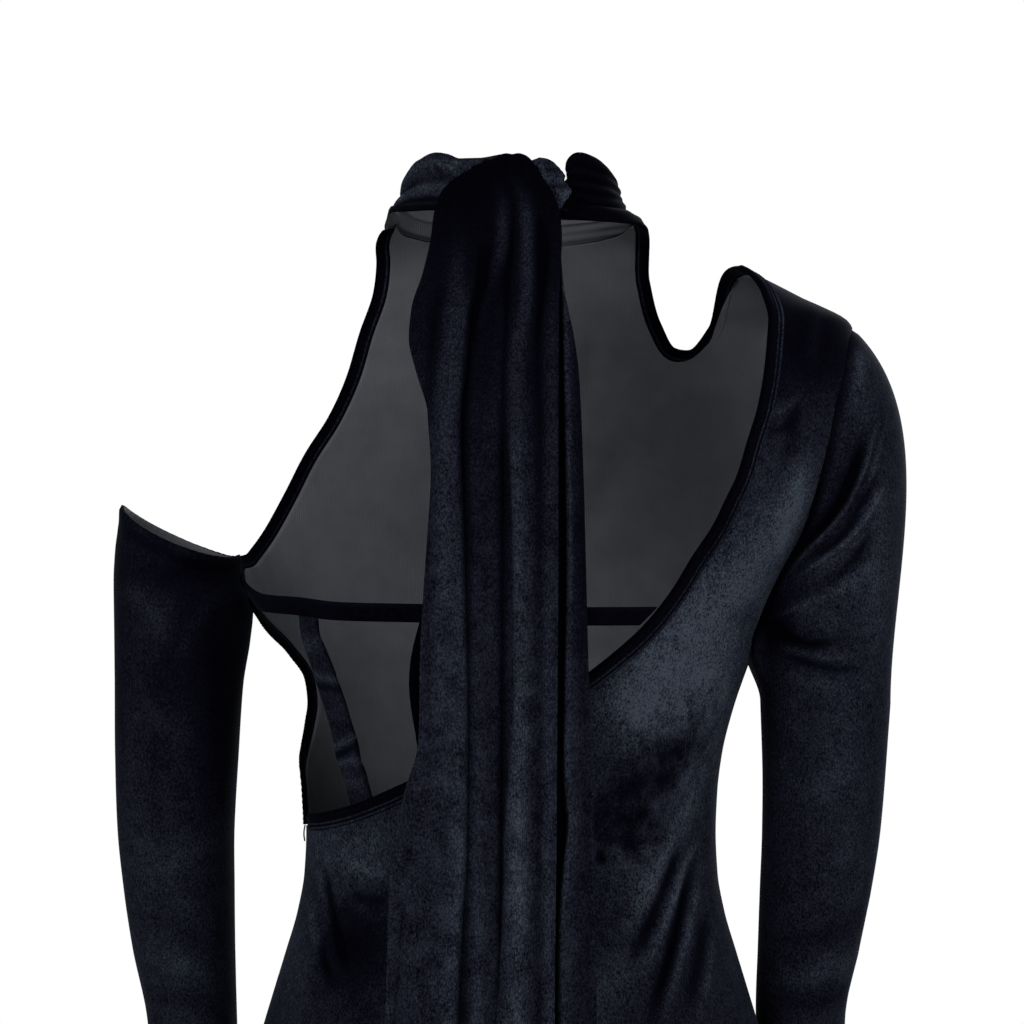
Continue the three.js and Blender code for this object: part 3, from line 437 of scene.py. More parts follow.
def knit_back(name, colour):
    """Wrong side of the velvet: matt knit in fine upright ribs, a little lighter than the
    pile, with small slubs."""
    material, nodes, links, surface, place = new_cloth(name)
    ribs = nodes.new("ShaderNodeTexWave")
    ribs.inputs["Scale"].default_value = 260
    ribs.inputs["Distortion"].default_value = 1.2
    ribs.inputs["Detail"].default_value = 2
    slubs = nodes.new("ShaderNodeTexNoise")
    slubs.inputs["Scale"].default_value = 60
    slubs.inputs["Detail"].default_value = 5
    links.new(place, ribs.inputs["Vector"])
    links.new(place, slubs.inputs["Vector"])
    blend = nodes.new("ShaderNodeMix")
    blend.data_type = "RGBA"
    blend.inputs["A"].default_value = (*[0.72 * part for part in colour], 1)
    blend.inputs["B"].default_value = (*[1.28 * part for part in colour], 1)
    links.new(slubs.outputs["Fac"], blend.inputs["Factor"])
    links.new(blend.outputs["Result"], surface.inputs["Base Color"])
    raise_cloth(material, ribs.outputs["Fac"], 0.3, 0.0003)
    surface.inputs["Roughness"].default_value = 0.9
    surface.inputs["Specular IOR Level"].default_value = 0.1
    return material


panel_velvet = velvet("panel_velvet")
wrong_side = knit_back("velvet_wrong_side", (0.038, 0.040, 0.045))


def right_edge(z, limit):
    """Angle of a panel's right edge: the side line, and beside the armhole its own curve."""
    beside = (z <= ARMHOLE[0, 0]) & (z >= ARMHOLE[-1, 0])
    return np.where(beside, np.maximum(angle_at(-armhole(z), z), -limit), -limit)


def roundness(z):
    """Columns are spaced by width above the waist and by angle below it."""
    return ramp(280, 400, -z)


def seam_dip(share, z):
    """The cloth turns in at both side edges, over a few millimetres, as into a seam."""
    near = np.minimum(share, 1 - share) * SEAM_TURN["across"]
    return -SEAM_TURN["drop"] * bell(near, SEAM_TURN["reach"]) * np.ones_like(z)


def dress(piece, right_side, other_side):
    """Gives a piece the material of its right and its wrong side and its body."""
    piece.data.materials.append(right_side)
    piece.data.materials.append(other_side)
    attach(piece, "root")


back_z = np.concatenate([
    np.linspace(-49.6, NECKLINE_FOOT + 0.2, 160),
    np.linspace(NECKLINE_FOOT - 0.2, -480, 56),
    np.linspace(-483, -640, 42),
    np.linspace(-647, SKIRT_HEM, 48),
])[:, None]
share = np.linspace(0, 1, 145)[None, :]
limit = side_angle(back_depth(back_z))
left_x = np.where(back_z > NECKLINE_FOOT, neckline(back_z), on_skin(limit, back_z)[..., 0])
left = np.where(back_z > NECKLINE_FOOT, angle_at(left_x, back_z), limit)
right = right_edge(back_z, limit)
by_width = angle_at(mix(left_x, on_skin(right, back_z)[..., 0], share), back_z)
back_angle = mix(by_width, mix(left, right, share), roundness(back_z))
back_z = back_z + 0 * back_angle
back_x = on_skin(back_angle, back_z)[..., 0]
back_fold = creases(back_x, back_z, BACK_CREASES) + flutes(back_angle, back_z)
hem = hem_rise(SKIRT_HEM, SKIRT_HEM_DEPTH, back_z)
dip = seam_dip(share, back_z) * np.where((share < 0.5) & (back_z > NECKLINE_FOOT), 0, 1)
# The pile's patches with painted light and shade, lighter on the ridges and darker in the hollows
# of the folds and creases.
back_pile_and_shading = patches(back_x, back_z, BACK_PILE_AND_SHADING, BACK_LIGHT["base"]) + BACK_LIGHT["folds"] * back_fold
back_pile_and_shading = back_pile_and_shading + BACK_LIGHT["creases"] * creases(back_x, back_z, BACK_CREASES)
back_pile_and_shading = back_pile_and_shading + BACK_LIGHT["hips"] * ramp(430, 480, -back_z) * ramp(620, 520, -back_z)
back_panel = on_body(
    "back_panel_velvet", back_angle, back_z,
    back_fold + WALL + hem + dip, back_fold + CLOTH_INNER, back_pile_and_shading,
    crush=patches(back_x, back_z, BACK_CRUSH, BACK_CRUSHED),
)
dress(back_panel, panel_velvet, wrong_side)
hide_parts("back_panel")

# The front panel
# The same velvet, cut in one from the collar and the right shoulder to the hem. Its left edge
# is the bound halter edge and below it a crescent cut out of the side. It is caught under
# the collar's lower edge and sewn to the back at both sides.
HALTER_START = 72
COLLAR_LAP = 3
COLLAR_COLUMNS = 9
PANEL_COLUMNS = 20
SHOULDER_COLUMN = 16
SHOULDER_ROWS = 1.5
WAIST_ROW = 20
# How light the front is: a base, and painted light on the ridges and painted shade in the hollows
# of its folds.
FRONT_LIGHT = {"base": 0.30, "folds": 0.045}
HALTER = np.array([
    [-30, 47], [-38, 37], [-58, 26], [-82, 22.5], [-108, 24], [-134, 28], [-158, 34], [-182, 42],
    [-203, 53], [-219, 69], [-229, 90],
])
SIDE_CUT = np.array([
    [-241, 90], [-254, 78], [-269, 66], [-286, 60], [-303, 62], [-318, 69], [-331, 79],
    [-341, 90], [NECKLINE_FOOT, 90],
])
WAIST_ROWS = np.array([-287, -300, -313, -326, -338, -348, -357, -364, NECKLINE_FOOT])
SKIRT_ROWS = np.array([
    -390, -412, -438, -466, -505, -550, -610, -690, -790, -910, -1060, -1230, SKIRT_HEM,
])
SCOOP = np.array([[-75, -50], [-83, -78], [-95, -96], [-111, -98], [-126, -82], [-137, -49.5]])
SHOULDER_SEAM = np.array([-54, -60, -67, -74, -82])

# The collar's upper and lower edge: degrees round from the centre back, two heights.
COLLAR = np.array([
    [-180, -6, -34], [-150, -5, -30], [-120, -3, -25.5], [-90, 1, -22], [-75, 6, -23.5],
    [-62, 12, -25], [-50, 15.4, -25.2], [-40, 17, -24.8], [-30, 16, -24.4], [-10, 13, -22.5],
    [10, 13, -19], [30, 16, -17.8], [45, 17.3, -17.8], [60, 14.8, -18.2], [75, 9, -18.8],
    [90, 1.5, -19.8], [120, -3, -25], [150, -5, -30], [180, -6, -34],
])
FRONT_CREASES = [
    (-70, -150, -20, -232, 1.6, 11, 3), (40, -150, 12, -226, 1.4, 10, -3),
    (-118, -262, -84, -318, 1.5, 8, 2), (-112, -330, -78, -392, -1.4, 8, -2),
    (96, -368, 66, -424, 1.7, 7, 2), (82, -372, 54, -430, -1.4, 7, 2),
    (-104, -372, -70, -438, 1.8, 7, -2), (-92, -368, -58, -430, -1.5, 6, -1),
    (-52, -70, -40, -128, 1.3, 6, 2), (-30, -66, -24, -122, -1.2, 5, 1),
    (6, -66, 2, -116, 1.2, 5, 0), (28, -64, 18, -120, -1.0, 5, -1),
    (-66, -520, -20, -640, 1.6, 16, 4), (70, -510, 26, -630, 1.5, 16, -4),
    (-168, -120, -140, -168, 1.1, 8, 2), (-150, -196, -112, -246, 1.0, 8, 3),
]
FRONT_NAP = [
    (-62, -190, 44, 46, 20, 0.30), (58, -196, 36, 46, -20, 0.34), (0, -240, 46, 40, 0, -0.12),
    (-40, -330, 46, 44, 0, 0.26), (60, -340, 30, 30, 0, -0.1), (30, -430, 60, 40, 10, 0.14),
    (-80, -470, 36, 60, -12, -0.14), (20, -700, 60, 130, 0, 0.18), (-90, -880, 40, 150, 6, 0.16),
    (90, -1000, 50, 140, -6, 0.14), (-10, -1200, 70, 90, 0, -0.08),
]

collar_top, collar_low = curve(COLLAR, 1), curve(COLLAR, 2)


def spline(knots, places):
    """Weights of a smooth curve through points at uneven knots, one row for each place: a
    Hermite cubic between the two points beside it, with slopes of parabolas through three."""
    count = len(knots)
    step = np.diff(knots)
    slopes = np.zeros((count, count))
    for k in range(1, count - 1):
        share = step[k] / (step[k - 1] + step[k])
        slopes[k, k - 1] -= share / step[k - 1]
        slopes[k, k] += share / step[k - 1] - (1 - share) / step[k]
        slopes[k, k + 1] += (1 - share) / step[k]
    slopes[0, :2] = -1 / step[0], 1 / step[0]
    slopes[-1, -2:] = -1 / step[-1], 1 / step[-1]
    k = np.clip(np.searchsorted(knots, places, side="right") - 1, 0, count - 2)
    t = ((places - knots[k]) / step[k])[:, None]
    wide = step[k][:, None]
    points = np.eye(count)
    return hermite(t, points[k], wide * slopes[k], points[k + 1], wide * slopes[k + 1])


def smooth_line(points, places):
    """A smooth line through points, knotted at its own length; places are counted in points
    and run evenly between them."""
    knots = np.concatenate([[0], np.cumsum(np.linalg.norm(np.diff(points, axis=0), axis=1))])
    numbered = np.column_stack([np.arange(len(points)), knots])
    return spline(knots, curve(numbered, 1)(places)) @ points


def angle_of(places):
    """Angle of places near the figure: their direction from its axis, where both the width
    and the depth are swollen towards the corners."""
    wide = places[..., 0] / half_width(places[..., 2])
    behind = places[..., 1] > 0
    depth = np.where(behind, back_depth(places[..., 2]), front_depth(places[..., 2]))
    deep = places[..., 1] / depth
    angle = np.arctan2(wide, deep)
    for _ in range(8):
        sine, cosine = np.sin(angle) ** 2, np.cos(angle) ** 2
        angle = np.arctan2(wide * (1 + SQUARENESS * sine), deep * (1 + SQUARENESS * cosine))
    return angle


# The front's upper edge: under the collar, down into the scoop and along the shoulder.
collar_degrees = np.linspace(HALTER_START, -HALTER_START, COLLAR_COLUMNS + 1)
collar_place = np.sign(collar_degrees) * (180 - np.abs(collar_degrees))
under_collar = collar_low(collar_place) + COLLAR_LAP
seam_limit = side_angle(front_depth(SHOULDER_SEAM))
top_points = np.column_stack([
    np.concatenate([
        on_skin(np.pi - np.radians(collar_degrees), under_collar)[:, 0],
        SCOOP[:, 0],
        on_skin(np.pi + seam_limit, SHOULDER_SEAM)[:, 0],
    ]),
    np.concatenate([under_collar, SCOOP[:, 1], SHOULDER_SEAM]),
])[: PANEL_COLUMNS + 1]

# The front's left edge down the halter and the cut-out, and its right edge down the seam.
edge_z = np.concatenate([[top_points[0, 1]], HALTER[:, 0], SIDE_CUT[:, 0], SKIRT_ROWS])
edge_turn = np.radians(np.concatenate([
    [HALTER_START], HALTER[:, 1], SIDE_CUT[:, 1], np.full(len(SKIRT_ROWS), 90)
]))
edge_turn = np.minimum(edge_turn, side_angle(front_depth(edge_z)))
seam_z = np.concatenate([ARMHOLE[:, 0], WAIST_ROWS, SKIRT_ROWS]).astype(float)
seam_turn = right_edge(seam_z, side_angle(front_depth(seam_z)))
edge_points = on_skin(np.pi - edge_turn, edge_z)
seam_points = on_skin(np.pi - seam_turn, seam_z)


def front_places(row, column):
    """The front's angles and heights: between its left and right edge, and lifted near the
    top by what the upper edge departs from a straight line, faded out by a square. Near the
    armhole and the shoulder the angle is drawn to the seam by the eighth power of the share
    and by the square of the rows left."""
    share = column / PANEL_COLUMNS
    left, right = smooth_line(edge_points, row), smooth_line(seam_points, row)
    top = smooth_line(top_points, column)
    fade = np.maximum(0, 1 - row / (len(ARMHOLE) - 1)) ** 2
    lift = fade[:, None, None] * (top - mix(top_points[0], top_points[-1], share[:, None]))
    x = mix(left[:, :1], right[:, :1], share) + lift[..., 0]
    z = mix(left[:, 2:], right[:, 2:], share) + lift[..., 1]
    by_angle = mix(angle_of(left)[:, None], angle_of(right)[:, None] % (2 * np.pi), share)
    seam_x, seam_z, top_z = right[:, :1], right[:, 2:], top[:, 1]
    seam_miss = right_edge(seam_z, side_angle(front_depth(seam_z))) - angle_at(seam_x, seam_z)
    top_miss = -side_angle(front_depth(top_z)) - angle_at(top[:, 0], top_z)
    top_miss = top_miss * ramp(SHOULDER_COLUMN - 0.4, SHOULDER_COLUMN + 0.2, column)
    near_top = np.maximum(0, 1 - row[:, None] / SHOULDER_ROWS) ** 2
    by_width = np.pi - angle_at(x, z) - seam_miss * share**8 - top_miss * near_top
    return mix(by_width, by_angle, roundness(z)), z


front_rows = np.concatenate([
    np.linspace(0, WAIST_ROW, 210),
    np.linspace(WAIST_ROW + 0.12, len(seam_z) - 1, 70),
])
front_columns = np.linspace(0, PANEL_COLUMNS, 101)
front_angle, front_z = front_places(front_rows, front_columns)
front_x = on_skin(front_angle, front_z)[..., 0]
front_fold = creases(front_x, front_z, FRONT_CREASES) + flutes(front_angle, front_z)
front_share = front_columns[None, :] / PANEL_COLUMNS
joined = np.where((front_share < 0.5) & (front_z > NECKLINE_FOOT), 0, 1)
front_out = front_fold + WALL + hem_rise(SKIRT_HEM, SKIRT_HEM_DEPTH, front_z)
front_out = front_out + joined * seam_dip(front_share, front_z)
# The front's lightness: the pile's patches, with painted light and shade along its folds.
front_panel = on_body(
    "front_panel_velvet", front_angle, front_z, front_out, front_fold + CLOTH_INNER,
    patches(front_x, front_z, FRONT_NAP, FRONT_LIGHT["base"]) + FRONT_LIGHT["folds"] * front_fold,
)
dress(front_panel, panel_velvet, wrong_side)
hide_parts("front_panel")

# The right sleeve
# A long narrow set-in sleeve of the same velvet. Its cap is sewn into the armhole, and the
# cloth drags from the shoulder to the underarm, where it lies in small arcs.
CAP_GAP = 0.3
CAP_LEAVE = {"out": 0.34, "over": 0.3, "round": 0.14, "down": 0.6}
ALLOWANCE = {"turned": 3.0, "under": 1.5}
CUFF = -640
CUFF_HEM_DEPTH = 20
RIGHT_WALL = 1.3
# How light the sleeve is: a base, painted light on the ridges and painted shade in the hollows of
# its folds, and painted shadow beside the armhole seam.
RIGHT_LIGHT = {"base": 0.33, "folds": 0.13, "seam": -0.22}
# The seam's puff: its rise, over how far it rises, where the folds begin, and how far from the
# seam the painted shadow reaches.
SEAM_PUFF = {"rise": 0.9, "over": 5, "folds_from": 9, "shadow_to": 11}
SLEEVE_CRUSHED = 0.2

# Height, middle, half width, middle of the depth and half depth.
RIGHT_ARM = np.array([
    [-300, -184, 37, -2, 45], [-340, -183.5, 35, -5, 43], [-375, -182.3, 33.7, -9, 40],
    [-410, -179.5, 31.8, -14, 38], [-445, -176, 29, -20, 36], [-488, -172, 25.5, -29, 34],
    [-535, -179, 24.5, -39, 32], [-585, -185, 25, -50, 31], [CUFF, -188, 27, -61, 31],
])

# Creases on the back of the sleeve, by distance from the middle and height.
RIGHT_SLEEVE_CREASES = [
    (-205.9, -144.2, -161.2, -219.9, 2.6, 1.5, 6.7),
    (-199.4, -147.1, -164.5, -210, -2.6, 3.4, 6.2),
    (-209.4, -178.6, -166.7, -224.1, 2.5, 1.5, 3.4),
    (-206.4, -170.6, -168.8, -216.2, -2.4, 2.6, 5),
    (-204.2, -201.6, -177.3, -229.7, -1.9, 3.4, 3.4),
    (-207.1, -217.1, -165.8, -242.3, 1.1, 3.9, 2.8),
    (-151.4, -254.9, -185.9, -261.8, -1.7, 2.5, -5),
    (-161.2, -272.1, -199, -279, -1.5, 2.5, -1.7),
    (-153.2, -265.3, -194.5, -270.4, 1.3, 2.5, -2.8),
    (-148.6, -248.6, -174.4, -237.2, 1, 2.2, -1.7),
    (-157.7, -282.5, -189.9, -288.2, 0.9, 2.8, -1.7),
    (-201.3, -124.2, -192.2, -164.3, 0.7, 3.9, 2.8), (-199, -96.6, -193.3, -127, 0.8, 3.4, 1.7),
    (-196, -330, -164, -352, 0.8, 7, 3), (-204, -420, -160, -440, -1.0, 8, 4),
    (-200, -446, -158, -458, 1.1, 6, 3), (-196, -470, -156, -474, -1.0, 6, 2),
    (-198, -505, -160, -500, 1.0, 7, 3),
]
# Where the sleeve is lighter or darker, partly how its pile lies and partly painted light and
# shade: thin painted highlights along the drag creases and painted shade under the arm. Place,
# two radii, tilt and strength.
RIGHT_SLEEVE_PILE_AND_SHADING = [
    (-197.9, -106.9, 6.7, 19, 10, 0.1), (-192.2, -170, 12.3, 31.4, 25, -0.2),
    (-209.4, -215.9, 9, 61.6, 0, 0.16), (-188, -228, 20, 14, 15, 0.14),
    (-205.5, -165, 1.6, 26, 16, 0.16), (-189.5, -197, 1.6, 24, 44, 0.18),
    (-192, -208, 1.5, 20, 50, 0.16), (-176, -247, 20, 8, 10, 0.12),
    (-152, -251.5, 11.2, 16.8, 0, -0.34), (-169.2, -233.1, 16.8, 11.2, 20, -0.1),
    (-165.8, -266.4, 22.4, 9, 0, -0.1), (-183, -319.2, 16.8, 44.8, 0, 0.06),
    (-191.6, -411, 16.8, 44.8, 0, 0.04), (-148.6, -330.7, 5.6, 89.6, 0, -0.12),
]

sleeve_velvet = velvet("sleeve_velvet", mottle=0.8)


def arm_rings(table, heights, turn):
    """Rings of an arm: an ellipse at each height, from the outer side round by the back."""
    x, half, y, depth = (curve(table, column)(heights) for column in (1, 2, 3, 4))
    x = x + np.sign(table[0, 1]) * half * np.cos(turn)
    y = y + depth * np.sin(turn)
    return np.stack([x, y, heights + 0 * x], -1)


def square_to(grid, closed):
    """Directions square to a grid of places, from the differences between neighbours."""
    along = np.gradient(grid, axis=0)
    if closed:
        across = np.roll(grid, -1, 1) - np.roll(grid, 1, 1)
    else:
        across = np.gradient(grid, axis=1)
    return unit(np.cross(along, across))


def off_surface(name, skin, out, outer, inner, pile_and_shading, closed=False, crush=0.0):
    """A cloth on a surface of its own, with its two sides so far off it, square to it."""
    sides = [skin + out * np.asarray(off)[..., None] for off in (outer, inner)]
    return cloth(name, *sides, pile_and_shading, closed, crush)


turn = np.linspace(0, 1, 176, endpoint=False)[None, :]
climb = 2 * np.minimum(turn, 1 - turn) * (len(ARMHOLE) - 1)
numbered = np.column_stack([np.arange(len(ARMHOLE)), ARMHOLE[:, 0]])
hole_z = curve(numbered, 1)(climb)
behind = turn < 0.5
hole_limit = side_angle(np.where(behind, back_depth(hole_z), front_depth(hole_z)))
hole_angle = right_edge(hole_z, hole_limit)
hole_angle = np.where(behind, hole_angle, np.pi - hole_angle)
start = on_figure(hole_angle, hole_z, WALL - 0.9)
ring_turn = 2 * np.pi * turn
end = arm_rings(RIGHT_ARM, RIGHT_ARM[0, 0] + 0 * turn, ring_turn)
reach = np.linalg.norm(end - start, axis=-1, keepdims=True)
leave = unit(np.stack([
    -CAP_LEAVE["out"] - CAP_LEAVE["over"] * np.cos(ring_turn),
    CAP_LEAVE["round"] * np.sin(ring_turn),
    -CAP_LEAVE["down"] + 0 * ring_turn,
], -1))
begin = start + leave * CAP_GAP
under_panel = on_figure(hole_angle, hole_z, -ALLOWANCE["under"])
allowance = np.concatenate([under_panel - leave * ALLOWANCE["turned"], under_panel])
t = np.linspace(0, 1, 100)[:, None, None]
arrive = np.array([0.0, 0.0, -1.0]) * reach
cap = hermite(t, begin, leave * reach, end, arrive)
heights = np.linspace(RIGHT_ARM[0, 0] - 2.6, CUFF, 110)[:, None]
arm = arm_rings(RIGHT_ARM, heights, ring_turn)
right_skin = np.concatenate([allowance, cap, arm])
right_out = square_to(right_skin, True)
right_out = -right_out * np.sign(right_out[-1, 0, 0])
x, z = right_skin[..., 0], right_skin[..., 2]
back_side = ramp(-0.1, 0.45, np.sin(ring_turn)) + 0 * x
front_side = ramp(-0.1, 0.45, -np.sin(ring_turn)) + 0 * x
right_fold = back_side * creases(x, z, RIGHT_SLEEVE_CREASES)
right_fold = right_fold + front_side * creases(x, z + 6, RIGHT_SLEEVE_CREASES[4:])
from_seam = np.linalg.norm(right_skin - begin, axis=-1)
from_seam[: len(allowance)] = 0
right_fold = right_fold * ramp(0, SEAM_PUFF["folds_from"], from_seam)
right_fold = right_fold + hem_rise(CUFF, CUFF_HEM_DEPTH, z)
# Painted shadow on the sleeve beside the armhole seam, fading out away from it.
painted_seam_shadow = ramp(SEAM_PUFF["shadow_to"], 1, from_seam)
seam_rise = SEAM_PUFF["rise"] * ramp(0, SEAM_PUFF["over"], from_seam)
sleeve_right = off_surface(
    "sleeve_right_velvet", right_skin, right_out, right_fold + seam_rise, right_fold - RIGHT_WALL,
    patches(x, z, RIGHT_SLEEVE_PILE_AND_SHADING, RIGHT_LIGHT["base"])
    + RIGHT_LIGHT["folds"] * right_fold
    + RIGHT_LIGHT["seam"] * painted_seam_shadow,
    closed=True,
    crush=SLEEVE_CRUSHED,
)
dress(sleeve_right, sleeve_velvet, wrong_side)
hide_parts("sleeve_right_upper", "sleeve_right_lower")

# The left sleeve
# The off-shoulder sleeve: a tube of the same velvet that starts below the shoulder, with
# its top edge turned in and stitched as a narrow hem, and joins the dress at the underarm.
LEFT_ARM = np.array([
    [-206, 193.4, 33.4, -1, 42], [-211, 193.6, 35.1, -1, 43], [-222, 193.6, 36.8, -1, 44],
    [-231, 192, 39.6, -1, 45], [-241, 191.6, 40.6, -1, 46], [-262, 192.4, 39.6, -2, 46],
    [-290, 194.4, 37.4, -3, 45], [-328, 195.8, 36.1, -5, 43], [-374, 196.8, 34.2, -9, 40],
    [-410, 195.5, 32.5, -14, 38], [-445, 193.4, 30.2, -20, 36], [-488, 189.5, 26.5, -29, 34],
    [-535, 188, 25, -39, 32], [-585, 190, 25, -50, 31], [CUFF, 192, 27, -61, 31],
])
SLANT_FROM, SLANT_TO, SLANT_RISE, SLANT_DIP = 206, 290, 14.5, 7
TOP_HEM = 7.5
LEFT_WALL = 1.5
# How light the sleeve is: a base, lighter lower down, painted light and shade along its folds and
# the top hem's roll and stitches, and darker along the top hem.
LEFT_LIGHT = {"base": 0.15, "low": 0.16, "folds": 0.10, "hem": -0.09}
TOP_HEM_ROLL = {"roll": 1.3, "stitches": -0.8, "puff": 0.45}
LEFT_SLEEVE_CREASES = [
    (222, -232, 196, -262, 1.0, 6, 3), (168, -236, 188, -270, 1.0, 5, -2),
    (214, -300, 184, -322, 0.8, 8, 3), (172, -380, 208, -396, 0.8, 8, 3),
    (216, -424, 176, -444, -1.0, 8, 4), (212, -448, 170, -460, 1.0, 6, 3),
    (208, -474, 168, -476, -0.9, 6, 2), (206, -506, 166, -500, 1.0, 7, 3),
]
# Where the sleeve is lighter or darker, partly how its pile lies and partly painted light and
# shade, as the painted shadow just below the top hem: place, two radii, tilt and strength.
LEFT_SLEEVE_PILE_AND_SHADING = [
    (204, -244, 14, 22, 0, 0.08), (216, -330, 10, 80, 0, 0.12), (190, -330, 12, 60, 10, 0.05),
    (186, -222, 26, 9, -12, -0.12), (176, -262, 14, 30, 0, -0.08), (200, -420, 18, 34, 0, 0.06),
    (188, -470, 24, 40, 0, 0.08), (168, -300, 8, 60, 0, -0.08),
]

heights = np.linspace(LEFT_ARM[0, 0], CUFF, 150)[:, None]
left_skin = arm_rings(LEFT_ARM, heights, ring_turn)
slant = ramp(SLANT_TO, SLANT_FROM, -heights)
rounded = np.sqrt(np.sin(ring_turn) ** 2 + 0.02) - 0.14
rise = SLANT_RISE * np.cos(ring_turn) + SLANT_DIP * (1 - 1.15 * rounded)
left_skin[..., 2] += slant * rise
left_out = square_to(left_skin, True)
left_out = left_out * np.sign(left_out[-1, 0, 0])
x, z = left_skin[..., 0], left_skin[..., 2]
left_fold = back_side[:1] * creases(x, z, LEFT_SLEEVE_CREASES)
left_fold = left_fold + front_side[:1] * creases(x, z - 5, LEFT_SLEEVE_CREASES)
below = LEFT_ARM[0, 0] - heights + 0 * x
hem_roll = TOP_HEM_ROLL["roll"] * bell(below - 1.5, 2.2)
hem_roll = hem_roll + TOP_HEM_ROLL["stitches"] * bell(below - TOP_HEM, 1)
hem_roll = hem_roll + TOP_HEM_ROLL["puff"] * bell(below - TOP_HEM + 3, 2)
pucker = 1 + 0.4 * ripple(9 * np.cos(ring_turn), 9 * np.sin(ring_turn))
pucker = pucker + 0.25 * np.sin(ring_turn * 46)
left_fold = left_fold * ramp(4, 14, below) + hem_roll * pucker
left_fold = left_fold + hem_rise(CUFF, CUFF_HEM_DEPTH, z)
# Its lightness: the patches, lighter lower down, painted light and shade along the folds and the
# hem's roll, and darker along the top hem.
sleeve_left = off_surface(
    "sleeve_left_velvet", left_skin, left_out, left_fold, left_fold - LEFT_WALL,
    patches(x, z, LEFT_SLEEVE_PILE_AND_SHADING, LEFT_LIGHT["base"])
    + LEFT_LIGHT["low"] * ramp(-300, -400, z)
    + LEFT_LIGHT["folds"] * left_fold
    + LEFT_LIGHT["hem"] * ramp(TOP_HEM + 4, TOP_HEM - 2, below),
    closed=True,
    crush=SLEEVE_CRUSHED,
)
dress(sleeve_left, sleeve_velvet, wrong_side)
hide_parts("sleeve_left")

# The bindings
# Narrow strips of the velvet, folded over each bare edge and stitched down in two rows close
# to the panel, so that two fine ridges run beside a thicker roll.
BINDING_STEP = 1.6

# Across a binding: distance off the panel's edge, height of its right and wrong side, and how
# light it is: painted highlights on the two ridges beside the stitches, painted shade in the
# grooves, and a dark roll.
BINDING_SECTION = np.array([
    [-1.4, 1.75, 1.66, 0.14], [-0.9, 2.25, 1.66, 0.3], [-0.2, 2.72, 1.66, 0.52],
    [0.5, 2.3, 0.3, 0.22], [1.1, 1.9, 0.2, 0.02], [1.7, 2.45, 0.2, 0.3], [2.3, 2.75, 0.2, 0.5],
    [2.9, 2.05, 0.2, 0.1], [3.7, 2.5, 0.2, 0.05], [5.0, 3.15, 0.2, 0.07], [6.4, 3.1, 0.2, 0.04],
    [7.6, 2.4, 0.2, 0.0], [8.3, 1.5, 0.3, 0.0], [8.5, 0.9, 0.5, 0.0],
])

binding_velvet = velvet("binding_velvet", mottle=0.3, rim=0.01)


def evenly(angle, z, out, step):
    """A path on the figure resampled at even steps of its own length."""
    places = on_figure(angle, z, out + 0 * z)
    run = np.concatenate([[0], np.cumsum(np.linalg.norm(np.diff(places, axis=0), axis=1))])
    even_run = np.linspace(0, run[-1], int(run[-1] / step) + 1)
    return np.interp(even_run, run, angle), np.interp(even_run, run, z), even_run


def binding(name, angle, z, turn_side):
    """A strip along an edge: the section is carried along the path, flat on the figure, with
    the panel on one side. Fine puckers from the stitching break its height."""
    angle, z, run = evenly(angle, z, 0.0, BINDING_STEP)
    point = on_figure(angle, z, 0 * z)
    out = off_skin(angle, z)
    along = unit(np.gradient(point, axis=0))
    off = unit(np.cross(out, along)) * turn_side
    pucker = 1 + 0.05 * np.sin(run * 1.9) + 0.04 * ripple(run / 5, 0)
    wave = 0.25 * ripple(run / 14, 1.5)
    distance, upper, lower, ridge_light_and_shade = BINDING_SECTION.T

    def skin(height, stitched):
        rise = height[None, :] * (pucker[:, None] if stitched else 1)
        sway = distance[None, :] + wave[:, None] * (distance[None, :] > 3)
        return point[:, None] + off[:, None] * sway[..., None] + out[:, None] * rise[..., None]

    # Painted highlights on the ridges and painted shade in the grooves, a little uneven along the
    # strip.
    pile_and_shading = ridge_light_and_shade[None, :] * (0.85 + 0.35 * ripple(run / 22, 0.6)[:, None])
    return cloth(name, skin(upper, True), skin(lower, False), pile_and_shading)


edge_down = np.concatenate([np.linspace(-50, -364, 300), np.linspace(-364.4, -370.4, 16)])
edge_angle = angle_at(neckline(edge_down), edge_down)
binding_back = binding("binding_back_velvet", edge_angle, edge_down, -1)
first = np.array([0.0])
angle, z = front_places(np.linspace(0.25, 11.5, 230), first)
binding_halter = binding("binding_halter_velvet", angle[:, 0], z[:, 0], 1)
angle, z = front_places(np.linspace(11.7, WAIST_ROW, 170), first)
binding_side_cut = binding("binding_side_cut_velvet", angle[:, 0], z[:, 0], 1)
angle, z = front_places(first, np.linspace(9.2, 15.2, 160))
binding_scoop = binding("binding_scoop_velvet", angle[0], z[0], -1)

# The loose end of the back binding hangs just below the corner at the side seam: its two
# heights, its width, how far it stands off the seam and sways, and where it lies in depth.
BINDING_END = {"top": -371.2, "bottom": -380.5, "width": 1.9, "off": 2.1, "sway": 0.7, "y": 3.4}

down = np.linspace(0, 1, 24)[:, None]
across = np.linspace(-0.5, 0.5, 7)[None, :]
end_z = mix(BINDING_END["top"], BINDING_END["bottom"], down) + 0 * across
end_x = on_skin(side_angle(back_depth(end_z)), end_z)[..., 0]
end_x = end_x + BINDING_END["off"] + BINDING_END["sway"] * np.sin(3 * down)
end_y = BINDING_END["y"] + BINDING_END["width"] * across * (1 - 0.3 * down)
end_wall = 0.5 * ramp(0.5, 0.3, np.abs(across))
binding_end = cloth(
    "binding_end_velvet",
    np.stack([end_x + end_wall, end_y, end_z], -1),
    np.stack([end_x - 0.3, end_y, end_z], -1),
    0.06 + 0.04 * ripple(5 * down, 3 * across),
)
dress(binding_end, binding_velvet, binding_velvet)

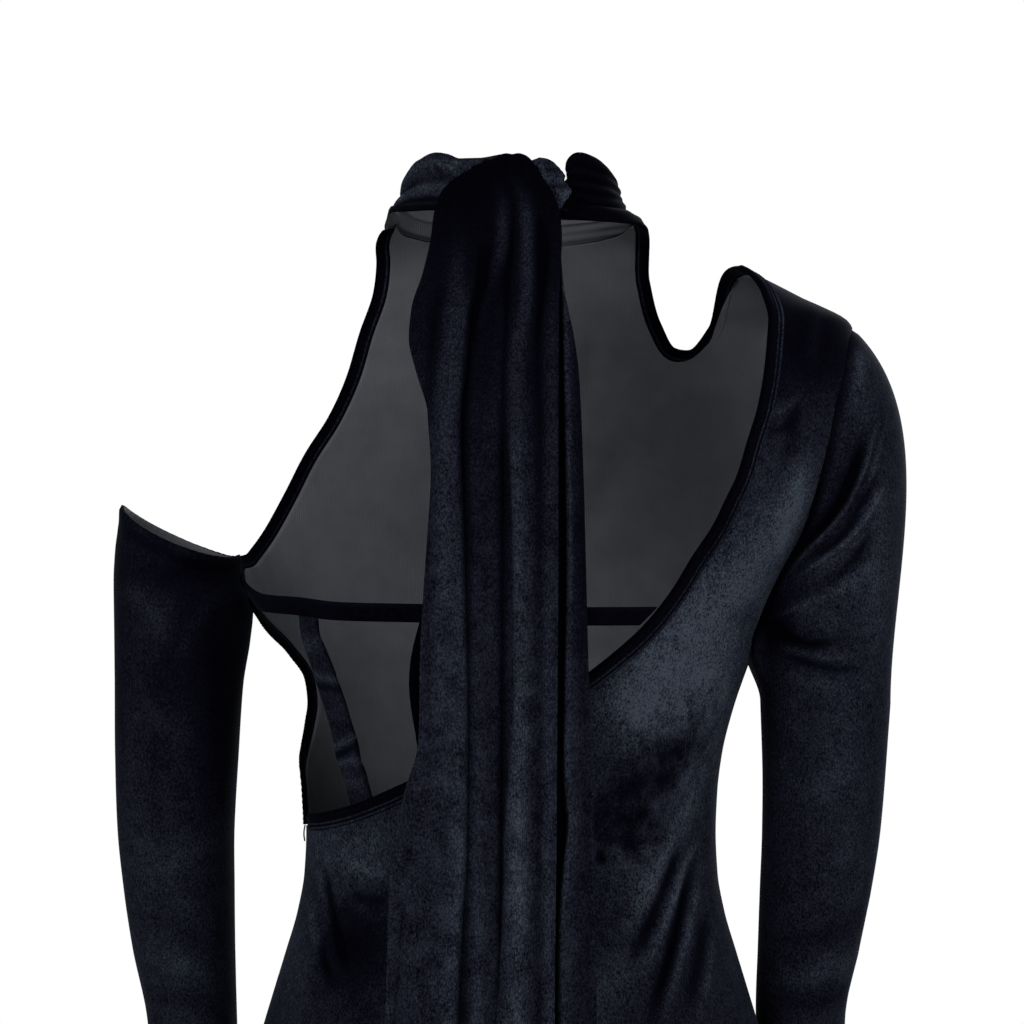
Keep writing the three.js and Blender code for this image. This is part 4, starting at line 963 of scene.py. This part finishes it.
BINDINGS = [
    (binding_back, "binding_back", 0.50, [binding_end]),
    (binding_halter, "binding_halter", 0.31, []),
    (binding_side_cut, "binding_side_cut", 0.205, []),
    (binding_scoop, "binding_scoop", 0.235, []),
]
for piece, node, length, ends in BINDINGS:
    dress(piece, binding_velvet, binding_velvet)
    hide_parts(node)

# The band across the back and the side strap
# The band is a folded strip of velvet stretched across the open back, from the left
# underarm to the back panel's edge. The strap is a softer one that hangs between the
# band and the waist, and wrinkles where it carries no load.
BAND_DEPTH = 10.2
BAND_EDGE = np.array([
    [155, -226], [152, -229.5], [147, -233], [141, -235], [121, -236], [96, -238.5], [50, -239.2],
    [-44, -240.9], [-88, -241],
])
BAND = {"left": 154.6, "right": -76, "slant": 5, "tuck": 4.2, "tuck_end": 0.06}
BAND_RELIEF = {"off": 0.7, "rise": 0.9, "ripple": 0.25, "gathers": 0.5, "stitches": -0.35}
BAND_STITCHES = (0.16, 0.84)
STRIP_INNER = 0.05

# The strap: height, middle and width. Its wrinkles: height, rise, half width and slant.
STRAP = np.array([
    [-246.2, 113.4, 11], [-256.4, 112.6, 11.2], [-263, 110.4, 11.8], [-269.7, 107.9, 12.2],
    [-276.4, 105.5, 12.6], [-283, 103.4, 12.8], [-296.5, 99, 13], [-309.8, 95.2, 12.8],
    [-316.5, 93.3, 13.4], [-323.2, 92.2, 14], [-330, 90.6, 13.2], [-336.6, 88, 12.8],
    [-343.3, 86.2, 12.8], [-355.5, 83, 12.6],
])
STRAP_WRINKLES = [
    (-281, 1.0, 3, 5), (-287, -0.6, 2.6, 4), (-318, 1.2, 2.6, -4), (-323, -0.7, 2.4, -5),
    (-329, 0.9, 2.8, 3), (-341, 0.6, 3, 4), (-262, 0.7, 4, -5), (-302, 0.4, 4, 3),
]
STRAP_TILT = 2.8
# How light the strap is: a base, painted highlights on its wrinkles' ridges and painted shade in
# their hollows, and darker towards its edges.
STRAP_LIGHT = {"base": 0.26, "wrinkles": 0.24, "edges": 0.16}


def band_places(share, across):
    """The band: from its slanting left end to its slanting right end, upper to lower edge."""
    slant = BAND["slant"] * share
    x = mix(BAND["left"], BAND["right"], share)
    z = curve(BAND_EDGE, 1)(x)
    tuck = BAND["tuck"] * (1 - ramp(0, BAND["tuck_end"], share))
    return mix(x - slant, x + slant - tuck, across), mix(z, z - BAND_DEPTH, across)


share = np.linspace(0, 1, 260)[:, None]
across = np.linspace(0, 1, 15)[None, :]
band_x, band_z = band_places(share, across)
edge_drop = ramp(0, 0.12, across) * ramp(1, 0.88, across)
gathers = BAND_RELIEF["gathers"] * np.sin(share * 520) * ramp(0.07, 0, share)
band_ripple = BAND_RELIEF["ripple"] * ripple(share * 60, across * 3)
band_out = BAND_RELIEF["off"] + (BAND_RELIEF["rise"] + band_ripple) * edge_drop + gathers
for row in BAND_STITCHES:
    band_out = band_out + BAND_RELIEF["stitches"] * bell(across - row, 0.04)
band_angle = angle_at(band_x, band_z)
# The band is dark, with a painted highlight along its upper edge.
back_band = on_body(
    "back_band_velvet", band_angle, band_z, band_out, STRIP_INNER + 0 * band_out,
    0.05 + 0.03 * ripple(share * 30, across * 2) + 0.08 * bell(across - 0.1, 0.06),
)
dress(back_band, binding_velvet, binding_velvet)
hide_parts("back_band")

strap_z = np.linspace(STRAP[0, 0], STRAP[-1, 0], 130)[:, None]
down = (STRAP[0, 0] - strap_z) / (STRAP[0, 0] - STRAP[-1, 0])
strap_width = curve(STRAP, 2)(strap_z)
strap_x = curve(STRAP, 1)(strap_z) + strap_width * (0.5 - across)
strap_height = strap_z + STRAP_TILT * down * (2 * across - 1)
strap_angle = angle_at(strap_x, strap_height)
wrinkles = sum(
    high * bell(strap_z - at + lean * (across - 0.5), wide)
    for at, high, wide, lean in STRAP_WRINKLES
)
strap_out = 0.6 + (1.0 + wrinkles) * edge_drop * ramp(-0.01, 0.05, down)
# Its lightness: painted highlights and shade on the wrinkles, darker towards the edges.
side_strap = on_body(
    "side_strap_velvet", strap_angle, strap_height,
    strap_out, STRIP_INNER + 0.3 * np.maximum(wrinkles, 0),
    STRAP_LIGHT["base"]
    + STRAP_LIGHT["wrinkles"] * wrinkles
    + 0.08 * ripple(down * 17, across * 3)
    + STRAP_LIGHT["edges"] * (edge_drop - 1),
)
dress(side_strap, sleeve_velvet, binding_velvet)
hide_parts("side_strap")

# The wrapped collar
# Two gathered wraps of the velvet round the neck. The left one shows as two soft layers, its
# right side lighter, partly as painted light, with painted light on its raised layers and along
# its creases; the right one is drawn into fine slanting gathers and kept near black, partly as
# painted shade, with painted highlights on the gathers' ridges.
COLLAR_BREAK = -29
WRAP_GAP_BACK = 0.03
WRAP_GAP_FRONT = 0.004
ARC = 58
COLLAR_OUTER, COLLAR_EDGE, COLLAR_INNER = 0.5, 0.9, -0.2
# How light the left wrap is: a base, partly painted light; painted light where its layers stand
# further off; painted light and shade along its creases; and darker towards its lower edge.
LEFT_WRAP_LIGHT = {"base": 0.44, "layers": 0.1, "creases": 0.14, "low": -0.36}
LEFT_FLARE = {"rise": 2.4, "at": 1.35, "width": 0.28}
GATHER_RISE = 0.75

# Down from the upper edge: how far the left and the right wrap stand off the neck.
COLLAR_FOLDS = np.array([
    [0, 1.4, 1.8], [0.08, 2.9, 2.8], [0.2, 3.6, 3.1], [0.34, 2.3, 2.7], [0.46, 1.5, 3.0],
    [0.58, 3.8, 3.4], [0.7, 3.4, 2.9], [0.8, 2.8, 3.3], [0.9, 4.4, 3.6], [1, 2.4, 2.2],
])

# How far the left wrap's end is drawn back behind the knot, as angles.
LEFT_WRAP_END = {"upper": 0.5, "lower": 0.06}

# The rounded upper corner of the right wrap: how far down and along it goes, and how far the
# lower part reaches in behind the tail, as an angle.
CORNER = {"down": 9, "along": 0.17, "reach": 0.15}

# Creases of the left wrap, by distance round from the centre back and height.
LEFT_WRAP_CREASES = [
    (40, 11, 35, 5, 1.1, 1.1, 0), (42, 9, 37, 3, -1.1, 1.7, 0), (30.5, 11.5, 21, 5, 1.3, 1.2, 0),
    (27.5, 7.8, 19, 3, -1.1, 1.8, 0), (33, 8, 25, 2, 0.9, 1.3, 0), (34, 19, 44, 14, -0.9, 1.6, 0),
    (60, 12, 92, 0, 0.9, 3, 2), (58, 2, 96, -8, -0.9, 2.6, 2), (96, -2, 140, -14, 0.9, 3, 2),
    (100, -9, 150, -20, -0.8, 3, 1), (66, -8, 92, -16, 1.8, 3.4, 0),
    (130, -6, 172, -18, 0.8, 3, 1), (140, -16, 178, -27, 0.7, 3, 1),
]
collar_velvet = velvet("collar_velvet", mottle=0.4, rim=0.01)


def wrap_places(first, last, hand, rows, columns):
    """A wrap round the neck: angles along, share down across, height and standing off."""
    angle = np.linspace(first, last, rows)[:, None]
    down = np.linspace(0, 1, columns)[None, :]
    degrees = np.degrees(angle)
    height = mix(collar_top(degrees), collar_low(degrees), down)
    off = curve(COLLAR_FOLDS, hand)(down + 0 * angle)
    return angle + 0 * down, down + 0 * angle, height, off


break_angle = angle_at(np.array([COLLAR_BREAK]), np.array([0.0]))[0]
front_middle = np.pi - WRAP_GAP_FRONT
wrap_angle, wrap_down, wrap_z, wrap_off = wrap_places(break_angle, front_middle, 1, 250, 44)
hidden_end = mix(LEFT_WRAP_END["upper"], LEFT_WRAP_END["lower"], ramp(0.3, 0.6, wrap_down))
wrap_angle = wrap_angle + hidden_end * ramp(0.9, -0.4, wrap_angle)
wrap_fold = creases(wrap_angle * ARC, wrap_z, LEFT_WRAP_CREASES)
flare = LEFT_FLARE["rise"] * ramp(0.78, 1.0, wrap_down)
flare = flare * bell(wrap_angle - LEFT_FLARE["at"], LEFT_FLARE["width"])
soft = 0.35 * ripple(wrap_angle * 9, wrap_down * 7)
edges = ramp(0, 0.05, wrap_down) * ramp(1, 0.96, wrap_down)
left_off = wrap_off + edges * (wrap_fold + soft) + flare
# Painted light on the raised layers and along the creases, darker towards the lower edge.
collar_left = on_body(
    "collar_left_velvet", wrap_angle, wrap_z,
    left_off + COLLAR_OUTER + COLLAR_EDGE * edges, left_off + COLLAR_INNER,
    LEFT_WRAP_LIGHT["base"]
    + LEFT_WRAP_LIGHT["layers"] * (wrap_off - 3)
    + LEFT_WRAP_LIGHT["creases"] * wrap_fold
    + LEFT_WRAP_LIGHT["low"] * ramp(0.68, 0.82, wrap_down),
)
wrap_angle, wrap_down, wrap_z, wrap_off = wrap_places(
    break_angle - WRAP_GAP_BACK, -front_middle, 2, 210, 44
)
into_corner = 1 - np.clip((wrap_angle[:1] - wrap_angle) / CORNER["along"], 0, 1)
fall = CORNER["down"] * (1 - np.sqrt(1 - into_corner**2))
wrap_z = wrap_z - fall * (1 - wrap_down)
wrap_angle = wrap_angle + CORNER["reach"] * ramp(0.22, 0.5, wrap_down) * into_corner
wrap_off = wrap_off + 0.8 * into_corner
slope = wrap_down * 34 + 9 * np.sin(wrap_angle * 1.7)
gathers = GATHER_RISE * np.sin(slope) * ramp(0, 0.1, wrap_down) * ramp(1, 0.92, wrap_down)
gathers = gathers * (0.55 + 0.45 * ripple(wrap_angle * 7, wrap_down * 4))
edges = ramp(0, 0.05, wrap_down) * ramp(1, 0.96, wrap_down)
right_off = wrap_off + gathers
# The right wrap is kept near black, partly as painted shade, with painted light on the ridges of
# its gathers.
collar_right = on_body(
    "collar_right_velvet", wrap_angle, wrap_z,
    right_off + COLLAR_OUTER + COLLAR_EDGE * edges, right_off + COLLAR_INNER,
    0.02 + 0.05 * gathers,
)
for piece, node, length in (
    (collar_left, "collar_left", 0.19), (collar_right, "collar_right", 0.155),
):
    dress(piece, collar_velvet, wrong_side)
    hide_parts(node)

# The two tails
# Long ties of the velvet that hang from the knot over the open back. The outer one is wide
# and lies in upright folds that open below the knot, and the under one shows at both sides.
TAIL_END = -950
TAIL_HEM_DEPTH = 16
TAIL_OUTER, TAIL_INNER = 1.5, 0.1
INNER_TAIL_LEFT = 6
INNER_TAIL_BUMP = {"z": -280, "out": 12, "length": 45}

# Height, depth of the outer and the under tail, left edge, right edge of both.
TAILS = np.array([
    [4.9, 67, 58.4, 22, -15, -16], [-1.8, 69, 55.4, 32.2, -18.6, -17.5],
    [-8.6, 71.6, 58.6, 38.8, -23, -21], [-14, 74, 62, 41.2, -25.4, -24],
    [-22, 76.5, 65.6, 43.2, -27.6, -26], [-35, 80, 70, 44.6, -28.4, -27.4],
    [-56, 89, 79, 49, -27.4, -29], [-76, 96, 86, 55, -26.4, -31.6],
    [-92, 101, 91, 56.3, -26.2, -34.4], [-112, 107, 97, 52, -26, -37],
    [-133, 112, 101.5, 45.6, -25.8, -38.4], [-165, 118, 107, 42.2, -25.7, -39.8],
    [-215, 122, 111, 46.5, -25.7, -41.2], [-265, 123.5, 112.5, 49.5, -25.4, -42.4],
    [-313, 124, 113, 50.8, -25, -44], [-346, 124.5, 113.5, 59.5, -24.8, -45],
    [-400, 126, 115, 66.5, -24.2, -46], [-454, 128.5, 117.5, 68.4, -23.4, -46.8],
    [-520, 134, 123, 70, -24, -48], [-600, 139.5, 128.5, 71, -26, -50],
    [-720, 140, 129, 72, -29, -52], [-840, 142, 131, 73, -32, -54],
    [TAIL_END, 146, 135, 74, -35, -56],
])

# Folds of the outer tail: rise, half width to its left and right, and its way down as height
# and distance. The sharp sides are where one fold lies over the next.
OUTER_FOLDS = [
    (2.6, 3.4, 4, [
        [-5, 6.6], [-14, 5], [-37, 4.6], [-54, 9], [-80, 16], [-100, 18.7], [-142, 21],
        [-200, 19], [-950, 20],
    ]),
    (2.8, 3.4, 4.4, [
        [0, -2.4], [-6, -4.1], [-12.5, -6.9], [-39, -8.9], [-68, -8.9], [-86, -5], [-108, -2.4],
        [-150, -3], [-950, -4],
    ]),
    (-2.6, 2.6, 2.6, [[-20, 0.4], [-40, 0.6], [-64, 2.2], [-86, 2.4], [-110, 3.6], [-950, 6]]),
    (-4.0, 1.5, 11, [
        [-40, 17], [-60, 18.8], [-80, 22.6], [-108, 24.8], [-135, 27.4], [-209, 25.7], [-291, 24],
        [-372, 24], [-413, 26.7], [-466, 29.4], [-950, 40],
    ]),
    (2.4, 7, 1.3, [
        [-60, 22.8], [-80, 26.6], [-108, 28.8], [-135, 30.4], [-209, 28.7], [-291, 27],
        [-372, 27], [-413, 29.7], [-466, 32.4], [-950, 43],
    ]),
    (1.8, 5, 5, [
        [-30, 28], [-51, 30], [-94, 33.7], [-128, 37.9], [-180, 38], [-400, 46], [-950, 56],
    ]),
    (-1.8, 4, 4, [[-60, 38], [-94, 43], [-128, 44], [-180, 44], [-950, 60]]),
    (-2.6, 4.4, 3.6, [
        [-24, -15], [-48, -17.2], [-108, -14.6], [-142, -15.9], [-230, -15], [-950, -16],
    ]),
    (-2.0, 8, 0.8, [
        [-140, 1], [-182, -1.1], [-291, -2.2], [-325, 0.5], [-359, 2.7], [-386, 3.3], [-420, 4.9],
        [-466, 7.6], [-950, 16],
    ]),
    (2.0, 0.8, 10, [
        [-140, -0.6], [-182, -2.7], [-291, -3.8], [-325, -1.1], [-359, 1.1], [-386, 1.7],
        [-420, 3.3], [-466, 6], [-950, 14],
    ]),
    (-2.2, 2, 2, [[-386, 57], [-420, 60], [-466, 63.4], [-950, 66]]),
    (1.4, 3.4, 2, [[-60, -22.6], [-120, -22.4], [-400, -20], [-950, -28]]),
]

# How light the outer tail is, by height: darkest at the knot and lighter further down.
TAIL_LIGHT = np.array([
    [15, 0.0], [-5, 0.0], [-22, 0.02], [-45, 0.07], [-90, 0.17], [-200, 0.29], [-330, 0.35],
    [TAIL_END, 0.40],
])
ROLL = {"y": 61, "z": 4.9, "depth": 6}

# Top of the roll: distance from the middle and height, with the two soft bumps of its gathers.
CREST = np.array([
    [22, 5.1], [20, 6.1], [17, 7.5], [14.2, 9.1], [12.6, 9.7], [10.6, 9.7], [9.4, 10.2],
    [6.4, 11.7], [2.6, 12.7], [-0.8, 12.3], [-4.2, 12.8], [-7, 12.1], [-9.4, 10.5], [-11.6, 8.2],
    [-13.4, 6], [-15, 4.9],
])
BUMPS = 5.2
TAIL_CURL = -2.6

tail_velvet = velvet("tail_velvet", mottle=0.9, rim=0.01)
tail_light = curve(TAIL_LIGHT, 1)
tail_depth, tail_under, tail_left, tail_right, tail_inner_right = (
    curve(TAILS, column) for column in (1, 2, 3, 4, 5)
)


def tail_folds(x, z, table):
    """Long folds: each a bell across its own way down, with unlike sides, which swells."""
    total = np.zeros(np.broadcast(x, z).shape)
    for rise, left, right, way in table:
        way = np.array(way, float)
        away = x - curve(way, 1)(z)
        swell = 0.9 + 0.18 * np.sin(z / 83 + 2 * left)
        start = ramp(way[0, 0] + 6, way[0, 0] - 26, z)
        total = total + rise * swell * start * bell(away, np.where(away > 0, left, right))
    return total


def tail_skin(height, across, left, right, depth):
    """A tail's plain surface: left to right edge at each height, at its own depth."""
    x = mix(left, right, across)
    return np.stack([x, depth + 0 * x, height + 0 * x], -1)


# The tail starts inside the collar, rolls over its upper edge in soft bumps and hangs down
# from there. The roll runs out into the tail's edges at both ends.
roll = np.radians(np.linspace(8, 176, 50))[:, None]
across = np.linspace(0, 1, 157)[None, :]
height = np.concatenate([
    np.linspace(ROLL["z"], -120, 70),
    np.linspace(-122.5, -480, 100),
    np.linspace(-486, TAIL_END, 44),
])[:, None]
arch = ramp(0, 0.2, across) * ramp(1, 0.74, across)
bumps = np.sin(2 * np.pi * (BUMPS * across + 0.12 * np.sin(7 * across)))
bumps = bumps + 0.5 * np.sin(2 * np.pi * (1.7 * BUMPS * across + 0.3))
roll_x = mix(CREST[0, 0], CREST[-1, 0], across)
roll_skin = np.stack([
    roll_x + 0 * roll,
    ROLL["y"] - ROLL["depth"] * np.cos(roll) + 0 * across,
    ROLL["z"] + 0.1 + (curve(CREST, 1)(roll_x) - ROLL["z"]) * np.sin(roll),
], -1)
hang_skin = tail_skin(height, across, tail_left(height), tail_right(height), tail_depth(height))
outer_skin = np.concatenate([roll_skin, hang_skin])
x, z = outer_skin[..., 0], outer_skin[..., 2]
hanging = np.concatenate([np.zeros(len(roll)), np.ones(len(height))])[:, None]
outer_fold = hanging * tail_folds(x, z, OUTER_FOLDS)
sideways = np.minimum(across, 1 - across) * (x[:, :1] - x[:, -1:])
edge_curl = TAIL_CURL * bell(sideways, 3.2) * ramp(-2, -30, z) * hanging
outer_skin[..., 0] += 0.9 * ripple(z / 31, 2 + 0 * x) * ramp(-110, -150, z) * (1 - across)
hem = hem_rise(TAIL_END, TAIL_HEM_DEPTH, z)
outer_skin[..., 1] += outer_fold + edge_curl
outer_out = square_to(outer_skin, False)
outer_out = outer_out * np.sign(outer_out[-1, 0, 1])
gathered = 0.4 * bumps * arch * ramp(-34, -2, z) * ramp(12.4, 8, z)
# Painted light on the ridges and painted shade in the troughs of its folds, and a painted
# highlight along its curled edges.
tail_outer = off_surface(
    "tail_outer_velvet", outer_skin, outer_out,
    TAIL_OUTER + hem + gathered, TAIL_INNER + 0.5 * gathered,
    tail_light(z) + (0.06 + 0.05 * ramp(-110, -30, z)) * outer_fold - 0.012 * edge_curl,
    crush=0.1 + 0.42 * ramp(-60, -300, z),
)
dress(tail_outer, tail_velvet, wrong_side)
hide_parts("tail_outer", "knot_crest")

# The under tail: its right border folds back as a narrow upright pleat beside a gap, with a
# painted highlight along the pleat's edge and painted shadow in the gap.
INNER_FOLDS = [
    (-2.6, 3, 1.4, [
        [-50, -27], [-120, -28.6], [-216, -30], [-331, -28.6], [-359, -31], [-386, -28],
        [-420, -26], [-950, -33],
    ]),
    (2.6, 0.9, 5, [
        [-50, -29.6], [-120, -31.2], [-216, -32.4], [-291, -31.2], [-331, -30.8], [-359, -33],
        [-386, -30.2], [-420, -28], [-466, -27.5], [-950, -35],
    ]),
    (-1.0, 3.5, 3.5, [[-80, -37], [-200, -39], [-480, -42], [-950, -48]]),
    (1.4, 6, 6, [[-60, 10], [-400, 12], [-950, 14]]),
    (-1.4, 7, 7, [[-60, 28], [-400, 34], [-950, 40]]),
]
PLEAT = INNER_FOLDS[1][3]

height = np.concatenate([np.linspace(-2, -120, 55), np.linspace(-123, TAIL_END, 125)])[:, None]
across = np.linspace(0, 1, 101)[None, :]
bump = INNER_TAIL_BUMP["out"] * bell(height - INNER_TAIL_BUMP["z"], INNER_TAIL_BUMP["length"])
left = tail_left(height) - INNER_TAIL_LEFT + bump
inner_skin = tail_skin(height, across, left, tail_inner_right(height), tail_under(height))
x, z = inner_skin[..., 0], inner_skin[..., 2]
inner_fold = tail_folds(x, z, INNER_FOLDS)
inner_skin[..., 1] += inner_fold
pleat = x - curve(np.array(PLEAT, float), 1)(z)
pleat_light_and_shadow = 0.30 * bell(pleat, 0.9) - 0.34 * ramp(0.4, 1.8, pleat)
inner_out = square_to(inner_skin, False)
inner_out = inner_out * np.sign(inner_out[-1, 0, 1])
hem = hem_rise(TAIL_END, TAIL_HEM_DEPTH, z)
# Lighter lower down, with painted light and shade along its folds, a painted highlight on the
# pleat's edge and painted shadow in the gap beside it.
tail_inner = off_surface(
    "tail_inner_velvet", inner_skin, inner_out, TAIL_OUTER + hem, TAIL_INNER,
    0.12 + 0.16 * ramp(-190, -330, z) + 0.05 * inner_fold + pleat_light_and_shadow,
    crush=0.3,
)
dress(tail_inner, tail_velvet, wrong_side)
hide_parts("tail_inner")

# The loop of the knot
# The other end of the tie is pulled through beside the tail as a short crumpled loop of velvet,
# its pile turned up so that it looks lighter, with painted highlights on its crumples and along
# its lower right edge, and it ends in a soft point at the right.

# Height, left and right end and half depth of the loop, from its closed top down.
LOOP = np.array([
    [10.9, -13, -16, 1], [10.3, -10, -20, 2.8], [8.6, -8.5, -23.6, 4.2], [5, -8, -27.4, 5.2],
    [2, -8.5, -29.8, 5.6], [-2, -9.4, -30.4, 5.4], [-3.6, -9.6, -32.4, 5.2],
    [-6.4, -10, -33.4, 5], [-9.4, -11.5, -32.2, 4.6], [-12.8, -13.5, -30, 3.6],
    [-15.4, -16, -27.8, 2.4], [-16.8, -18.5, -25, 1.2],
])
LOOP_DEPTH = 61.5
LOOP_OUTER, LOOP_INNER = 0.3, -0.6
LOOP_LEAN = 0.072

height = np.linspace(LOOP[0, 0], LOOP[-1, 0], 64)[:, None]
spin = 2 * np.pi * np.linspace(0, 1, 72, endpoint=False)[None, :]
left, right, deep = (curve(LOOP, column)(height) for column in (1, 2, 3))
crumple = ripple(height / 2.3 + 2 * np.sin(spin), 2.4 * np.cos(spin))
crumple = 0.6 * crumple + 0.4 * ripple(1.6 * np.cos(spin), height / 1.3)
half = (left - right) / 2
swell = 1 + (0.10 * crumple + 0.05 * ripple(height * 1.7, 5 * np.sin(spin))) * ramp(0, 4, half)
loop_skin = np.stack([
    (left + right) / 2 + half * swell * np.cos(spin),
    LOOP_DEPTH + deep * swell * np.sin(spin) + 0 * height,
    height - LOOP_LEAN * height * np.cos(spin),
], -1)
loop_out = square_to(loop_skin, True)
loop_middle = loop_skin.mean(1, keepdims=True)
loop_out = loop_out * np.sign((loop_out * (loop_skin - loop_middle)).sum(-1))[..., None]
# Painted highlights on the outward crumples and along its lower right edge.
knot_lobe = off_surface(
    "knot_lobe_velvet", loop_skin, loop_out, LOOP_OUTER, LOOP_INNER,
    0.42 + 0.4 * crumple + 0.2 * ramp(-0.2, -1, np.cos(spin)) * ramp(1, -8, height),
    closed=True,
)
dress(knot_lobe, collar_velvet, wrong_side)
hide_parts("knot_lobe")

# The floor, the light and the camera
# A plain pale floor just below the hem, a white room, soft lamps behind and in front of the
# dress, and a camera behind it, level with the open back, as the photograph was taken.
FLOOR_GAP = 6
CAMERA = (-0.0006, 1.8, -0.1884)
VIEW_WIDTH = 0.599
SENSOR = 36.0

# The soft lamps: name, place, what they aim at, side in metres and power in watts.
LAMPS = [
    ("key_lamp", (1.3, 1.9, 0.9), (0, 0, -0.3), 1.2, 60),
    ("side_lamp", (-1.9, 1.3, 0.2), (0, 0, -0.3), 1.4, 40),
    ("front_lamp", (-1.4, -2.4, 0.7), (0, 0, -0.5), 1.2, 80),
]

mesh = bpy.data.meshes.new("floor")
corners = [(-4, -4), (4, -4), (4, 4), (-4, 4)]
floor_z = (SKIRT_HEM - FLOOR_GAP) * MM
mesh.from_pydata([(x, y, floor_z) for x, y in corners], [], [(0, 1, 2, 3)])
floor = bpy.data.objects.new("floor", mesh)
bpy.context.scene.collection.objects.link(floor)
pale = bpy.data.materials.new("pale_floor")
pale.use_nodes = True
surface = pale.node_tree.nodes["Principled BSDF"]
surface.inputs["Base Color"].default_value = (0.8, 0.8, 0.79, 1)
surface.inputs["Roughness"].default_value = 0.7
floor.data.materials.append(pale)

world = bpy.data.worlds.new("white_room")
world.use_nodes = True
room = world.node_tree.nodes["Background"]
room.inputs["Color"].default_value = (1, 1, 1, 1)
room.inputs["Strength"].default_value = 1.0
bpy.context.scene.world = world
bpy.context.scene.view_settings.view_transform = "Standard"

for name, place, aim, size, power in LAMPS:
    light = bpy.data.lights.new(name, "AREA")
    light.shape = "SQUARE"
    light.size = size
    light.energy = power
    lamp = bpy.data.objects.new(name, light)
    lamp.location = place
    way = np.array(aim, float) - np.array(place, float)
    lamp.rotation_euler = (
        math.acos(-way[2] / np.linalg.norm(way)), 0, math.atan2(way[1], way[0]) - math.pi / 2
    )
    bpy.context.scene.collection.objects.link(lamp)

camera = bpy.data.objects.new("camera", bpy.data.cameras.new("camera"))
camera.data.sensor_width = SENSOR
camera.data.lens = SENSOR * CAMERA[1] / VIEW_WIDTH
camera.location = CAMERA
camera.rotation_euler = (math.pi / 2, 0, math.pi)
bpy.context.scene.collection.objects.link(camera)
bpy.context.scene.camera = camera
